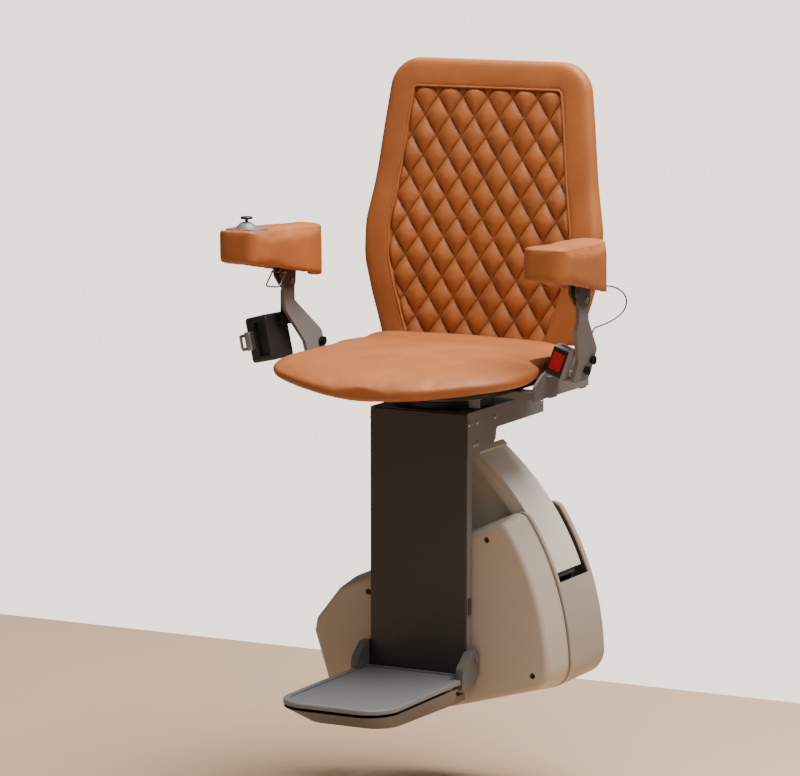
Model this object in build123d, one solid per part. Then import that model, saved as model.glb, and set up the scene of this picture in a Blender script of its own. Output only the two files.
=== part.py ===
from build123d import *
import math
import os

# Stairlift chair: a seat with a high back, two arms and a belt on a swivel, carried by a
# column with a folding footrest.  A curved spine behind the column runs in a drive unit that
# grips a steep rail, so the chair stays level while the drive unit tilts.
# Millimetres.  X to the sitter's left, -Y the way the sitter faces, Z up.
# The model is drawn about the swivel axis and the top of the column, and moved at the end
# so that the origin lies in the middle of the rail grip.

# ---------------------------------------------------------------- driving dimensions
RUN_GAP = 0.3            # gap between faces that move past each other
PIN_GAP = 0.05           # radial clearance of a pin in its bore

# drive unit, drawn in its own frame: U across the rail, W along the rail, about the arc centre
RAIL_LEAN = 18.0         # rail, degrees from upright
SEAM_Y = -8.0            # joint between the front cover and the housing
COVER_DEPTH = 60.0       # front cover, seam to face
COVER_TOP_W = 98.0
COVER_BOTTOM_W = -130.0
COVER_WALL = 3.0
COVER_DRAFT = 8.0        # degrees
HOUSING_BACK_Y = 122.0
SPLIT_W = -111.0         # joint between rear and lower housing
PLATE = 6.0              # chassis plate
RAIL_U = 60.0            # middle of the rail's guide flange
RAIL_WIDTH = 64.0
RAIL_FRONT_Y = 20.0
RAIL_DEPTH = 64.0
ROLLER_R_LEFT = 9.0
ROLLER_R_RIGHT = 14.0
ROLLER_WIDTH = 24.0
ROLLER_REACH = 40.0      # rollers, from the middle along the rail
AXLE_R = 4.0

# spine
RING_R = 424.0           # steel ring, outer face
RING_DEPTH = 22.0
RING_TOP_X = 2.0         # upper end of the ring's outer face, from the swivel axis
RING_TOP_Z = -44.8
RING_Y = 20.0
RING_WIDTH = 64.0
SKIN_GAP = 0.2           # moulded skin over the ring
SKIN_WALL = 5.8
SKIN_Y = 4.0
SKIN_WIDTH = 96.0
SPINE_LOW = 20.0         # degrees above the horizontal through the arc centre
SPINE_HIGH = 60.0
WEB_INNER_R = 290.0
TOOTH = 3.0              # gear module
RACK_DEPTH = 12.0        # ring's inner face to the rack's pitch circle
PINION_TEETH = 16
RACK_Y = 44.0
RACK_WIDTH = 16.0
PINION_ANGLE = 24.0      # degrees, where the pinion meets the rack
DRIVE_TEETH = 12
DRIVE_SHAFT_R = 8.0
HOUSING_GAP = 7.0        # skin to the housing's round face
COVER_STEP = 4.0         # housing to the front cover's round edge

SKIN_R = RING_R + SKIN_GAP + SKIN_WALL
HOUSING_RADIUS = SKIN_R + HOUSING_GAP
COVER_RADIUS = HOUSING_RADIUS - COVER_STEP
RACK_TEETH = round(2 * (RING_R - RING_DEPTH - RACK_DEPTH) / TOOTH)   # full circle
# centre of the arc that the spine and the drive unit share
ARC_X = RING_TOP_X - RING_R * math.cos(math.radians(SPINE_HIGH))
ARC_Z = RING_TOP_Z - RING_R * math.sin(math.radians(SPINE_HIGH))

# column and bracket
COLUMN_WIDTH = 168.0
COLUMN_FRONT_Y = -90.0
COLUMN_BACK_Y = -71.0
COLUMN_HEIGHT = 430.0
SHEET = 3.0
BRACKET_WIDTH = 170.0
BRACKET_BACK_Y = 183.0
BRACKET_DROP = 66.0
BRACKET_TOP = 5.0

# footrest
FOOT_WIDTH = 192.0
FOOT_FRONT_Y = -387.0
FOOT_BACK_Y = -92.5
FOOT_TOP_Z = -410.0
FOOT_CORNER = 50.0
FOOT_PIVOT_Y = -81.5
FOOT_PIVOT_Z = -384.5
PAN_BOTTOM_Z = -450.0
PAN_TRAVEL = 4.0
PAN_GUIDE_R = 4.0
EAR = 12.0
TRAY_DEPTH = 7.0
FOOT_PLATE = 9.5

# swivel
SWIVEL_R = 78.0
SWIVEL_BASE = 12.0
SWIVEL_PLATE = 6.0
SPIGOT_R = 20.0
LOCK_X = 60.0            # lock pin, from the swivel axis
LOCK_R = 4.5
SWIVEL_LEVER_X = 60.0    # pivot of the swivel lever
SWIVEL_LEVER_Y = -18.0
LEVER_STUD_R = 3.0

# seat and back
SEAT_PIVOT_Y = 75.0
SEAT_PIVOT_Z = 66.0
RAIL_INNER_X = 182.0     # seat side plate, inner face
SIDE_PLATE = 4.0
SEAT_BACK_Y = 103.0
SEAT_FRONT_Y = -288.0
WING_Y = -66.0           # where the cushion steps out in front of the arm posts
SEAT_WIDEST_Y = -130.0
SEAT_HALF = 217.0
SEAT_LIP = 193.0         # cushion's half width between the arm posts
LIP_BACK_Y = 46.0
SIDE_PLATE_TOP = 82.0
CUSHION_BOTTOM_Z = 48.0
PAN_FLOOR_Z = 36.0
BACK_Y = 105.0
BACK_Z = 92.0
BACK_LEAN = 6.0          # degrees
BACK_HEIGHT = 439.0
BACK_CUSHION = 26.0
BACK_SHELL = 10.0
BACK_BORDER = 48.0
DIAMOND_WIDTH = 44.0
DIAMOND_HEIGHT = 64.0
STITCH_DEPTH = 4.0
SEAM_WIDTH = 4.0
QUILT_SKIN = 0.5         # panel left at the bottom of a stitched valley

# arms and belt
POST = 6.0
POST_WIDTH = 34.0
POST_TOP_X = 254.0       # inner face of the post's upright half
POST_FOOT_X = 227.0      # inner face at the foot
POST_FOOT_Z = 48.0
POST_BEND_Z = 150.0
ARM_PIVOT_Y = -42.0
ARM_PIVOT_Z = 182.0
ARM_BACK_Y = 15.0
ARM_FRONT_Y = -192.0
ARM_PLATE = 4.0
PLATE_INSET = 9.0        # arm plate inside the pad's outline
PLATE_BACK_Y = -10.0
PAD_SLOT = 9.5           # room in the pad each side of the post
PIN_R = 5.0
STICK_X = -264.0
STICK_Y = -160.0
ARM_TOP_Z = 272.0        # seat of the control plate in the pad
LEVER_Y = -70.0          # pivot of the wire lever under the left arm
LEVER_Z = 199.0
LEVER_PIN_R = 2.2
BELT_X = -283.0          # middle of the belt retractor
BELT_Y = -56.0
BELT_Z = 92.0
BELT_TILT = 12.0         # degrees, its top leans outwards
BELT_WIDTH = 38.0
BELT_DEPTH = 68.0
BELT_LENGTH = 72.0
SPOOL_X = 2.0            # spool axis in the retractor's own frame
SPOOL_Y = 4.0
SPOOL_R = 13.0
WEBBING = 24.0
BUCKLE_X = 219.5
BUCKLE_Z = 84.0
BUCKLE_FRONT_Y = -52.0
BUCKLE_TILT = 20.0
BUTTON_WIDTH = 18.0      # buckle button
BUTTON_LOW = -12.0
BUTTON_HIGH = 16.0
STICK_PIVOT_Z = 268.0
STICK_FOOT_R = 4.5
CABLE_D = 2.3


# ---------------------------------------------------------------- drawing helpers
def polar(radius, degrees):
    """Point on a circle round the origin of a sketch."""
    angle = math.radians(degrees)
    return (radius * math.cos(angle), radius * math.sin(angle))


def facing_front(y):
    """Sketch plane at this Y: sketch x is X, sketch y is Z, and extrusion goes to -Y."""
    return Plane(origin=(0, y, 0), x_dir=(1, 0, 0), z_dir=(0, -1, 0))


def facing_left(x):
    """Sketch plane at this X: sketch x is Y, sketch y is Z, and extrusion goes to +X."""
    return Plane(origin=(x, 0, 0), x_dir=(0, 1, 0), z_dir=(1, 0, 0))


def poly(*points):
    return Polygon(*points, align=None)


def slab_y(sketch, y_low, y_high):
    """Solid from an XZ outline between two Y planes."""
    return extrude(facing_front(y_high) * sketch, y_high - y_low, dir=(0, -1, 0))


def slab_x(sketch, x_low, x_high):
    """Solid from a YZ outline between two X planes."""
    return extrude(facing_left(x_low) * sketch, x_high - x_low, dir=(1, 0, 0))


def slab_z(sketch, z_low, z_high):
    """Solid from an XY outline between two heights."""
    return extrude(Pos(0, 0, z_low) * sketch, z_high - z_low, dir=(0, 0, 1))


def block(x_low, x_high, y_low, y_high, z_low, z_high):
    centre = ((x_low + x_high) / 2, (y_low + y_high) / 2, (z_low + z_high) / 2)
    return Pos(*centre) * Box(x_high - x_low, y_high - y_low, z_high - z_low)


def rod_y(x, z, radius, y_low, y_high):
    return slab_y(Pos(x, z) * Circle(radius), y_low, y_high)


def rod_x(y, z, radius, x_low, x_high):
    return slab_x(Pos(y, z) * Circle(radius), x_low, x_high)


def rod_z(x, y, radius, z_low, z_high):
    return slab_z(Pos(x, y) * Circle(radius), z_low, z_high)


def sector(inner, outer, low, high):
    """Ring sector round the origin of a sketch, between two angles in degrees."""
    middle = (low + high) / 2
    outline = Line(polar(inner, low), polar(outer, low))
    outline += ThreePointArc(polar(outer, low), polar(outer, middle), polar(outer, high))
    outline += Line(polar(outer, high), polar(inner, high))
    outline += ThreePointArc(polar(inner, high), polar(inner, middle), polar(inner, low))
    return make_face(outline)


def rounded(sketch, radii):
    """Fillet the corners of an outline, each (x, y, radius) at the corner nearest to it."""
    for x, y, radius in radii:
        corners = sketch.vertices()
        nearest = min(corners, key=lambda v: math.hypot(v.X - x, v.Y - y))
        sketch = fillet(nearest, radius)
    return sketch


def mirrored(solid):
    return mirror(solid, Plane.YZ)


def both_sides(solid):
    return solid + mirrored(solid)


# The drive unit's own frame stands on the arc centre and leans with the rail.
UNIT = Pos(ARC_X, 0, ARC_Z) * Rot(0, -RAIL_LEAN, 0)
# The spine's frame stands on the arc centre, upright.
SPINE = Pos(ARC_X, 0, ARC_Z)
RAIL_MIDDLE_Y = RAIL_FRONT_Y + RAIL_DEPTH / 2


# ---------------------------------------------------------------- drive unit
def unit_outline(radius, inset=0.0):
    """Outline of the drive unit seen from the front: a blunt nose at the rail, a round far edge."""
    top = COVER_TOP_W
    bottom = COVER_BOTTOM_W
    far = radius + 20
    outline = poly((88, top), (28, 58), (16, 36), (16, -58), (44, -106), (92, bottom),
                   (200, bottom - 10), (far, bottom - 21), (far, top + 38))
    outline = outline & Circle(radius)
    outline = rounded(outline, [
        (radius, top + 34, 20), (radius, bottom - 18, 42), (88, top, 30), (28, 58, 18),
        (16, 36, 18), (16, -58, 30), (44, -106, 30), (92, bottom, 40)])
    if inset:
        outline = offset(outline, -inset, kind=Kind.INTERSECTION)
    return outline


def cover_bosses():
    """Screw positions of the front cover, in the unit's frame."""
    return [(COVER_RADIUS - 65, 104), (COVER_RADIUS - 53, -118), (140, 72), (60, -82)]


def make_front_cover():
    depth = COVER_DEPTH
    plane = facing_front(SEAM_Y)
    outer = extrude(plane * unit_outline(COVER_RADIUS), depth, taper=COVER_DRAFT)
    outer = fillet(outer.faces().sort_by(Axis.Y)[0].edges(), 9)
    inner = extrude(plane * unit_outline(COVER_RADIUS, COVER_WALL), depth - COVER_WALL,
                    taper=COVER_DRAFT)
    inner = fillet(inner.faces().sort_by(Axis.Y)[0].edges(), 6)
    shell = outer - inner
    for u, w in cover_bosses():
        shell += rod_y(u, w, 7.0, SEAM_Y - depth + 1.5, SEAM_Y)
        shell -= rod_y(u, w, 5.0, SEAM_Y - depth - 1, SEAM_Y - 26)
        shell -= rod_y(u, w, 2.8, SEAM_Y - 27, SEAM_Y + 1)
    return shell


def make_cover_screws():
    screws = Part()
    for u, w in cover_bosses():
        screws += rod_y(u, w, 4.5, SEAM_Y - 30, SEAM_Y - 26) - rod_y(u, w, 1.6, SEAM_Y - 31, SEAM_Y - 28)
        screws += rod_y(u, w, 2.4, SEAM_Y - 26, SEAM_Y + PLATE)
    return screws


def roller_places():
    """Rail rollers: (u, w, radius), a pair on each side of the rail."""
    left = RAIL_U - RAIL_WIDTH / 2 - ROLLER_R_LEFT
    right = RAIL_U + RAIL_WIDTH / 2 + ROLLER_R_RIGHT
    return [(left, ROLLER_REACH, ROLLER_R_LEFT), (left, -ROLLER_REACH, ROLLER_R_LEFT),
            (right, ROLLER_REACH, ROLLER_R_RIGHT), (right, -ROLLER_REACH, ROLLER_R_RIGHT)]


def drive_u():
    """Drive pinion centre: its teeth reach one module into the rail's rack."""
    return RAIL_U + RAIL_WIDTH / 2 + TOOTH * DRIVE_TEETH / 2 + 1.5


def cheek_u():
    """Inner face of the chassis cheek on the arc side of the rail."""
    return RAIL_U + RAIL_WIDTH / 2 + 2 * ROLLER_R_RIGHT + 6


def ring_roller_places():
    """Rollers that bear on the ring's outer and inner faces, in the spine's upright angles."""
    return [(RING_R - RING_DEPTH - 9, SPINE_LOW + 4.0), (RING_R - RING_DEPTH - 9, 32.0)]


def make_drive_chassis():
    y_front = SEAM_Y
    y_back = SEAM_Y + PLATE
    plate = slab_y(unit_outline(COVER_RADIUS, COVER_WALL + 1), y_front, y_back)
    left = roller_places()[0][0]
    reach = ROLLER_REACH + 10
    edge = left - ROLLER_R_LEFT - 2
    tab = slab_y(rounded(poly((edge, reach), (34, reach), (34, -reach), (edge, -reach)),
                         [(edge, reach, 14), (edge, -reach, 14)]), y_front, y_back)
    plate += tab
    right = cheek_u()
    plate += block(right, right + PLATE, y_back - 1, RAIL_FRONT_Y + RAIL_DEPTH, -80, 80)
    plate -= block(right - 1, right + PLATE + 1, y_back + 2, 100, -26, 26)
    for u, w in cover_bosses():
        plate -= rod_y(u, w, 2.45, y_front - 1, y_back + 1)
    for u, w, radius in roller_places():
        plate -= rod_y(u, w, AXLE_R, y_front - 1, y_back + 1)
    plate -= rod_y(drive_u(), 0, 12, y_front - 1, y_back + 1)
    for u, w in ((255, 40), (255, -50)):
        plate -= rod_y(u, w, 26, y_front - 1, y_back + 1)
    return plate


def rear_frame_outline():
    inner = 196
    outer = RING_R - 20
    return rounded(poly((inner, 96), (outer - 4, 96), (outer + 10, 20), (outer, -104), (inner, -104)),
                   [(inner, 96, 20), (outer - 4, 96, 20), (outer, -104, 20), (inner, -104, 20)])


REAR_PLATE_Y = RING_Y + RING_WIDTH + 4


def make_rear_frame():
    """Plate behind the ring, held off the chassis by four welded posts inside the arc."""
    plate = slab_y(rear_frame_outline(), REAR_PLATE_Y, REAR_PLATE_Y + PLATE)
    for u, w in ((205, 78), (205, -70), (225, 28), (225, -30)):
        plate += rod_y(u, w, 8, SEAM_Y + PLATE, REAR_PLATE_Y + 1)
    pinion_u, pinion_w = pinion_place()
    plate -= rod_y(pinion_u, pinion_w, 8, REAR_PLATE_Y - 1, REAR_PLATE_Y + PLATE + 1)
    for radius, angle in ring_roller_places():
        u, w = polar(radius, angle - RAIL_LEAN)
        plate -= rod_y(u, w, AXLE_R, REAR_PLATE_Y - 1, REAR_PLATE_Y + PLATE + 1)
    return plate


def make_axles():
    """Fixed axles of the rail rollers and of the two ring rollers."""
    axles = Part()
    for u, w, radius in roller_places():
        axles += rod_y(u, w, AXLE_R, SEAM_Y, RAIL_MIDDLE_Y + ROLLER_WIDTH / 2 + 4)
    for radius, angle in ring_roller_places():
        u, w = polar(radius, angle - RAIL_LEAN)
        axles += rod_y(u, w, AXLE_R, RACK_Y + RACK_WIDTH + 2, REAR_PLATE_Y + PLATE)
    return axles


def make_guide_roller(place):
    u, w, radius = place
    low = RAIL_MIDDLE_Y - ROLLER_WIDTH / 2
    high = RAIL_MIDDLE_Y + ROLLER_WIDTH / 2
    roller = fillet(rod_y(u, w, radius, low, high).edges(), 1.5)
    return roller - rod_y(u, w, AXLE_R + PIN_GAP, low - 1, high + 1)


def make_ring_roller(place):
    radius, angle = place
    u, w = polar(radius, angle - RAIL_LEAN)
    low = RACK_Y + RACK_WIDTH + 4
    high = RING_Y + RING_WIDTH
    roller = chamfer(rod_y(u, w, 9 - RUN_GAP, low, high).edges(), 1)
    return roller - rod_y(u, w, AXLE_R + PIN_GAP, low - 1, high + 1)


def involute_tooth(teeth, thickness_share, tip, root):
    """Half angles of a gear tooth at four radii from its root to its tip."""
    pitch = TOOTH * teeth / 2
    base = pitch * math.cos(math.radians(20))

    def roll(radius):
        ratio = min(1.0, base / radius)
        alpha = math.acos(ratio)
        return math.tan(alpha) - alpha

    half = math.pi * thickness_share / teeth
    steps = []
    for k in range(4):
        radius = root + (tip - root) * k / 3
        steps.append((radius, half + roll(pitch) - roll(max(radius, base))))
    return steps


def pinion_place():
    """Pinion centre in the unit's frame: inside the toothed arc, at its mesh angle."""
    centre = TOOTH * (RACK_TEETH - PINION_TEETH) / 2
    return polar(centre, PINION_ANGLE - RAIL_LEAN)


def gear_outline(teeth, share, phase):
    """Outline of a spur gear round the origin, with a tooth at the phase angle in radians."""
    pitch = TOOTH * teeth / 2
    flank = involute_tooth(teeth, share, pitch + 0.8 * TOOTH, pitch - 1.15 * TOOTH)
    points = []
    for k in range(teeth):
        middle = phase + 2 * math.pi * k / teeth
        for radius, half in flank:
            points.append((radius * math.cos(middle - half), radius * math.sin(middle - half)))
        for radius, half in reversed(flank):
            points.append((radius * math.cos(middle + half), radius * math.sin(middle + half)))
    return poly(*points)


def make_levelling_pinion():
    u, w = pinion_place()
    phase = math.radians(PINION_ANGLE - RAIL_LEAN)
    wheel = slab_y(gear_outline(PINION_TEETH, 0.44, phase), RACK_Y, RACK_Y + RACK_WIDTH)
    shaft = rod_y(0, 0, 6, RACK_Y + RACK_WIDTH, REAR_PLATE_Y + PLATE)
    return Pos(u, 0, w) * (wheel + shaft)


def make_levelling_rack():
    """Toothed inner arc, bolted inside the ring, with a tooth space at the pinion's mesh angle."""
    pitch = TOOTH * RACK_TEETH / 2
    step = 360.0 / RACK_TEETH
    count = int((SPINE_HIGH - 6 - SPINE_LOW) / step) - 1
    first = round((SPINE_LOW + 1 - PINION_ANGLE) / step)
    body = sector(pitch + 1.3 * TOOTH, RING_R - RING_DEPTH, SPINE_LOW, SPINE_HIGH - 6)
    arc = slab_y(body, RACK_Y, RACK_Y + RACK_WIDTH)
    points = []
    low_angle = PINION_ANGLE + (first - 0.5) * step - step / 2
    points.append(polar(pitch + 2 * TOOTH, low_angle))
    alpha = 20.0
    for k in range(first, first + count):
        middle = PINION_ANGLE + (k - 0.5) * step
        for depth in (1.35, 0.45, -0.45, -0.8):
            radius = pitch + depth * TOOTH
            lean = math.degrees(depth * TOOTH * math.tan(math.radians(alpha)) / pitch)
            points.append(polar(radius, middle - 0.22 * step - lean))
        for depth in (-0.8, -0.45, 0.45, 1.35):
            radius = pitch + depth * TOOTH
            lean = math.degrees(depth * TOOTH * math.tan(math.radians(alpha)) / pitch)
            points.append(polar(radius, middle + 0.22 * step + lean))
    points.append(polar(pitch + 2 * TOOTH, PINION_ANGLE + (first + count - 0.5) * step))
    teeth = slab_y(poly(*points) & sector(pitch - TOOTH, pitch + 1.6 * TOOTH, SPINE_LOW, SPINE_HIGH - 6),
                   RACK_Y, RACK_Y + RACK_WIDTH)
    return arc + teeth


def make_drive_pinion():
    """Toothed wheel that climbs the rail's rack, on the gearmotor's shaft."""
    u = drive_u()
    wheel = slab_y(gear_outline(DRIVE_TEETH, 0.48, 0.0), RAIL_MIDDLE_Y - 10, RAIL_MIDDLE_Y + 10)
    shaft = rod_y(0, 0, DRIVE_SHAFT_R, SEAM_Y - 11, RAIL_MIDDLE_Y - 10)
    return Pos(u, 0, 0) * (wheel + shaft)


def make_drive_gearmotor():
    u = drive_u()
    front = SEAM_Y - COVER_DEPTH + COVER_WALL + 3
    gearbox = fillet(block(u - 34, u + 38, front, SEAM_Y - 4, -38, 38).edges(), 4)
    motor_y = (front + SEAM_Y) / 2
    motor = Pos(u + 38 + 65, motor_y, 0) * Rot(0, 90, 0) * Cylinder(23, 130)
    mounts = Part()
    for w in (-28, 28):
        mounts += rod_y(u + 24, w, 5, SEAM_Y - 5, SEAM_Y)
        mounts += rod_y(u - 22, w, 5, SEAM_Y - 5, SEAM_Y)
    body = gearbox + motor + mounts
    return body - rod_y(u, 0, DRIVE_SHAFT_R + PIN_GAP, SEAM_Y - 12, SEAM_Y + 1)


def make_levelling_motor():
    """Flat geared motor behind the rear plate, turning the levelling pinion."""
    u, w = pinion_place()
    low = REAR_PLATE_Y + PLATE
    body = rod_y(0, 0, 26, low, HOUSING_BACK_Y - COVER_WALL - 1)
    return Pos(u, 0, w) * body - Pos(u, 0, w) * rod_y(0, 0, 6 + PIN_GAP, low - 1, low + 0.1)


def make_battery_pack():
    low = SEAM_Y - COVER_DEPTH + COVER_WALL + 4
    packs = Part()
    for u in (104, 216):
        pack = block(u, u + 104, low, SEAM_Y - 0.0, -112, -50)
        packs += fillet(pack.edges().filter_by(Axis.Y), 4)
    return packs


def make_control_board():
    board = block(190, 330, SEAM_Y - 10, SEAM_Y - 8.4, 38, 96)
    for u, w in ((196, 44), (324, 44), (196, 90), (324, 90)):
        board += rod_y(u, w, 3, SEAM_Y - 9, SEAM_Y)
    for u, w, width, height, thick in ((215, 60, 24, 18, 10), (255, 70, 30, 30, 5), (300, 58, 16, 30, 14)):
        board += block(u, u + width, SEAM_Y - 10 - thick, SEAM_Y - 9.5, w - height / 2, w + height / 2)
    return board


def housing_shell():
    """Moulded housing behind the seam, open at the front and slotted for the spine."""
    inner_edge = cheek_u() + PLATE + 1
    keep = poly((inner_edge, 300), (600, 300), (600, -300), (inner_edge, -300))
    outline = unit_outline(HOUSING_RADIUS) & keep
    cavity = unit_outline(HOUSING_RADIUS, COVER_WALL) & poly(
        (inner_edge + COVER_WALL, 300), (600, 300), (600, -300), (inner_edge + COVER_WALL, -300))
    outer = slab_y(outline, SEAM_Y, HOUSING_BACK_Y)
    outer = fillet(outer.faces().sort_by(Axis.Y)[-1].edges(), 10)
    shell = outer - slab_y(cavity, SEAM_Y - 1, HOUSING_BACK_Y - COVER_WALL)
    shell -= slab_y(unit_outline(HOUSING_RADIUS, COVER_WALL), SEAM_Y - 1, SEAM_Y + PLATE + 0.5)
    slot_low = SKIN_Y - 4
    slot_high = SKIN_Y + SKIN_WIDTH + 4
    notch_r = WEB_INNER_R - 6
    notch_u = math.sqrt(notch_r ** 2 - (COVER_TOP_W + 40) ** 2)
    notch = sector(notch_r, HOUSING_RADIUS + 20, 2, 40)
    shell -= slab_y(notch & poly((notch_u, COVER_TOP_W - 10), (600, COVER_TOP_W - 10),
                                 (600, 300), (notch_u, 300)), slot_low, slot_high)
    shell -= slab_y(sector(HOUSING_RADIUS - 6, HOUSING_RADIUS + 20, 1, 40), slot_low, slot_high)
    return shell


def make_rear_housing():
    return housing_shell() - block(-100, 600, -50, 200, -400, SPLIT_W)


def make_lower_housing():
    return housing_shell() & block(-100, 600, -50, 200, -400, SPLIT_W)


# ---------------------------------------------------------------- spine
def make_spine_ring():
    """Curved steel box with a welded block that carries the seat bracket."""
    ring = slab_y(sector(RING_R - RING_DEPTH, RING_R, SPINE_LOW, SPINE_HIGH), RING_Y, RING_Y + RING_WIDTH)
    top = -ARC_Z - BRACKET_TOP
    low_x, low_z = polar(RING_R - RING_DEPTH, SPINE_HIGH - 5)
    edge_x, edge_z = polar(RING_R, SPINE_HIGH - 5)
    mount = poly((low_x, low_z), (edge_x, edge_z), (edge_x, top), (low_x - 80, top),
                 (low_x - 80, top - 24), (low_x - 30, low_z + 6))
    ring += slab_y(mount, RING_Y, RING_Y + RING_WIDTH)
    return ring


def make_spine_cover():
    """Moulded skin over the ring, with a front and a rear lip, and a thick end cap."""
    low = SPINE_LOW + 1
    high = SPINE_HIGH - 7.5
    y_low = SKIN_Y
    y_high = SKIN_Y + SKIN_WIDTH
    skin = slab_y(sector(RING_R + SKIN_GAP, SKIN_R, low, high), y_low, y_high)
    lip_r = RING_R - 12
    skin += slab_y(sector(lip_r, SKIN_R, low, high), y_low, y_low + 3)
    skin += slab_y(sector(lip_r, SKIN_R, low, high), y_high - 3, y_high)
    skin -= slab_y(sector(SKIN_R - 7, SKIN_R - 5, low - 1, high + 1), y_low - 1, y_low + 1.2)
    cap = slab_y(sector(lip_r, SKIN_R + 3, high - 1.4, high), y_low, RING_Y - RUN_GAP)
    cap += slab_y(sector(lip_r, SKIN_R + 3, high - 1.4, high), RING_Y + RING_WIDTH + RUN_GAP, y_high)
    cap += slab_y(sector(SKIN_R - 1, SKIN_R + 3, high - 1.4, high), y_low, y_high)
    return skin + cap


def make_spine_web():
    """Dished inner panel between the spine and the column."""
    outer = RING_R - 12.4
    low = SPINE_LOW + 2
    high = SPINE_HIGH + 6
    panel = slab_y(sector(WEB_INNER_R, outer, low, high), SKIN_Y + 6, SKIN_Y + 9)
    rim = slab_y(sector(outer - 4, outer, low, SPINE_HIGH - 7), SKIN_Y, SKIN_Y + 9)
    tab = slab_y(sector(RING_R - RING_DEPTH + 1, outer, SPINE_HIGH - 7, SPINE_HIGH), SKIN_Y + 6, RING_Y)
    limit = slab_y(poly((60, 0), (600, 0), (600, -ARC_Z - BRACKET_TOP - 1), (60, -ARC_Z - BRACKET_TOP - 1)),
                   -20, 60)
    return (panel + rim + tab) & limit


def bracket_profile():
    """Side of the seat bracket: deep over the column, shallow behind it."""
    drop = -BRACKET_DROP
    front = COLUMN_FRONT_Y + SHEET
    return rounded(poly((front, 0), (BRACKET_BACK_Y, 0), (BRACKET_BACK_Y, -34), (14, -35),
                        (10, -53), (2, -58), (-60, drop), (front, drop)),
                   [(14, -35, 7), (2, -58, 4)])


def make_seat_bracket():
    half = BRACKET_WIDTH / 2
    side = slab_x(bracket_profile(), half - SHEET, half)
    top = block(-half, half, COLUMN_FRONT_Y + SHEET, BRACKET_BACK_Y, -BRACKET_TOP, 0)
    rear = block(-half, half, BRACKET_BACK_Y - SHEET, BRACKET_BACK_Y, -34, -1)
    front = block(-half, half, COLUMN_BACK_Y - 3, COLUMN_BACK_Y, -BRACKET_DROP, -1)
    body = both_sides(side) + top + rear + front
    for y, z in bracket_screw_places():
        body -= rod_x(y, z, 2.05, -half - 1, half + 1)
    return body


def bracket_screw_places():
    return [(-82, -18), (-54, -18), (8, -18), (176, -18), (-64, -52), (-54, -52)]


def make_bracket_screws():
    half = BRACKET_WIDTH / 2
    screws = Part()
    for y, z in bracket_screw_places():
        head = fillet(rod_x(y, z, 3.6, half, half + 1.8).faces().sort_by(Axis.X)[-1].edges(), 1)
        screw = head + rod_x(y, z, 2.0, half - 9, half)
        screws += both_sides(screw - rod_x(y, z, 1.2, half + 0.8, half + 3))
    return screws


def make_column_frame():
    """Folded steel channel that closes the sides and the back of the column."""
    half = COLUMN_WIDTH / 2
    front = COLUMN_FRONT_Y + SHEET
    top = -BRACKET_DROP
    side = block(half - SHEET, half, front, COLUMN_BACK_Y, -COLUMN_HEIGHT, top)
    inner = block(half - 2 * SHEET, half - SHEET, front, COLUMN_BACK_Y - SHEET, -COLUMN_HEIGHT, -8)
    back = block(-half, half, COLUMN_BACK_Y - SHEET, COLUMN_BACK_Y, -COLUMN_HEIGHT, top)
    foot = block(-half, half, front, COLUMN_BACK_Y, -COLUMN_HEIGHT, SHEET - COLUMN_HEIGHT)
    frame = both_sides(side + inner) + back + foot
    frame -= rod_x(FOOT_PIVOT_Y, FOOT_PIVOT_Z, PIN_R, -half - 1, half + 1)
    screw_y, screw_z = bracket_screw_places()[0]
    frame -= rod_x(screw_y, screw_z, 2.05, -half - 1, half + 1)
    return frame


def make_column_cover():
    half = COLUMN_WIDTH / 2
    outline = poly((-half, -1), (-half, -COLUMN_HEIGHT), (half, -COLUMN_HEIGHT), (half, -1))
    outline = chamfer(outline.vertices().group_by(Axis.Y)[-1].sort_by(Axis.X)[0], 7)
    panel = slab_y(outline, COLUMN_FRONT_Y, COLUMN_FRONT_Y + SHEET)
    return fillet(panel.faces().sort_by(Axis.Y)[0].edges(), 1.5)


def make_column_latch():
    half = COLUMN_WIDTH / 2
    latch = block(half, half + 2, -84, -75, -318, -292)
    return chamfer(latch.faces().sort_by(Axis.X)[-1].edges(), 0.8)


def make_swivel_base():
    """Bearing housing bolted to the bracket, with a ring groove for the lock pin."""
    base = rod_z(0, 0, SWIVEL_R, 0, SWIVEL_BASE)
    inner = LOCK_X - LOCK_R - 1.5
    outer = LOCK_X + LOCK_R + 1.5
    groove = rod_z(0, 0, outer, 6, SWIVEL_BASE + 1) - rod_z(0, 0, inner, 6, SWIVEL_BASE + 1)
    base = chamfer(base.edges(), 1) - groove
    return base - rod_z(0, 0, SPIGOT_R + PIN_GAP, 2, SWIVEL_BASE + 1)


# ---------------------------------------------------------------- footrest
def foot_outline(inset=0.0, back=FOOT_BACK_Y):
    half = FOOT_WIDTH / 2 - inset
    front = FOOT_FRONT_Y + inset
    return rounded(poly((-half, back), (half, back), (half, front), (-half, front)),
                   [(half, front, FOOT_CORNER - inset), (-half, front, FOOT_CORNER - inset)])


def pan_guide_places():
    """Guide pins that the safety pan rises on, in holes of the plate above it."""
    return [(-40, FOOT_BACK_Y - 60), (40, FOOT_BACK_Y - 60), (-40, FOOT_FRONT_Y + 90), (40, FOOT_FRONT_Y + 90)]


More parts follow.
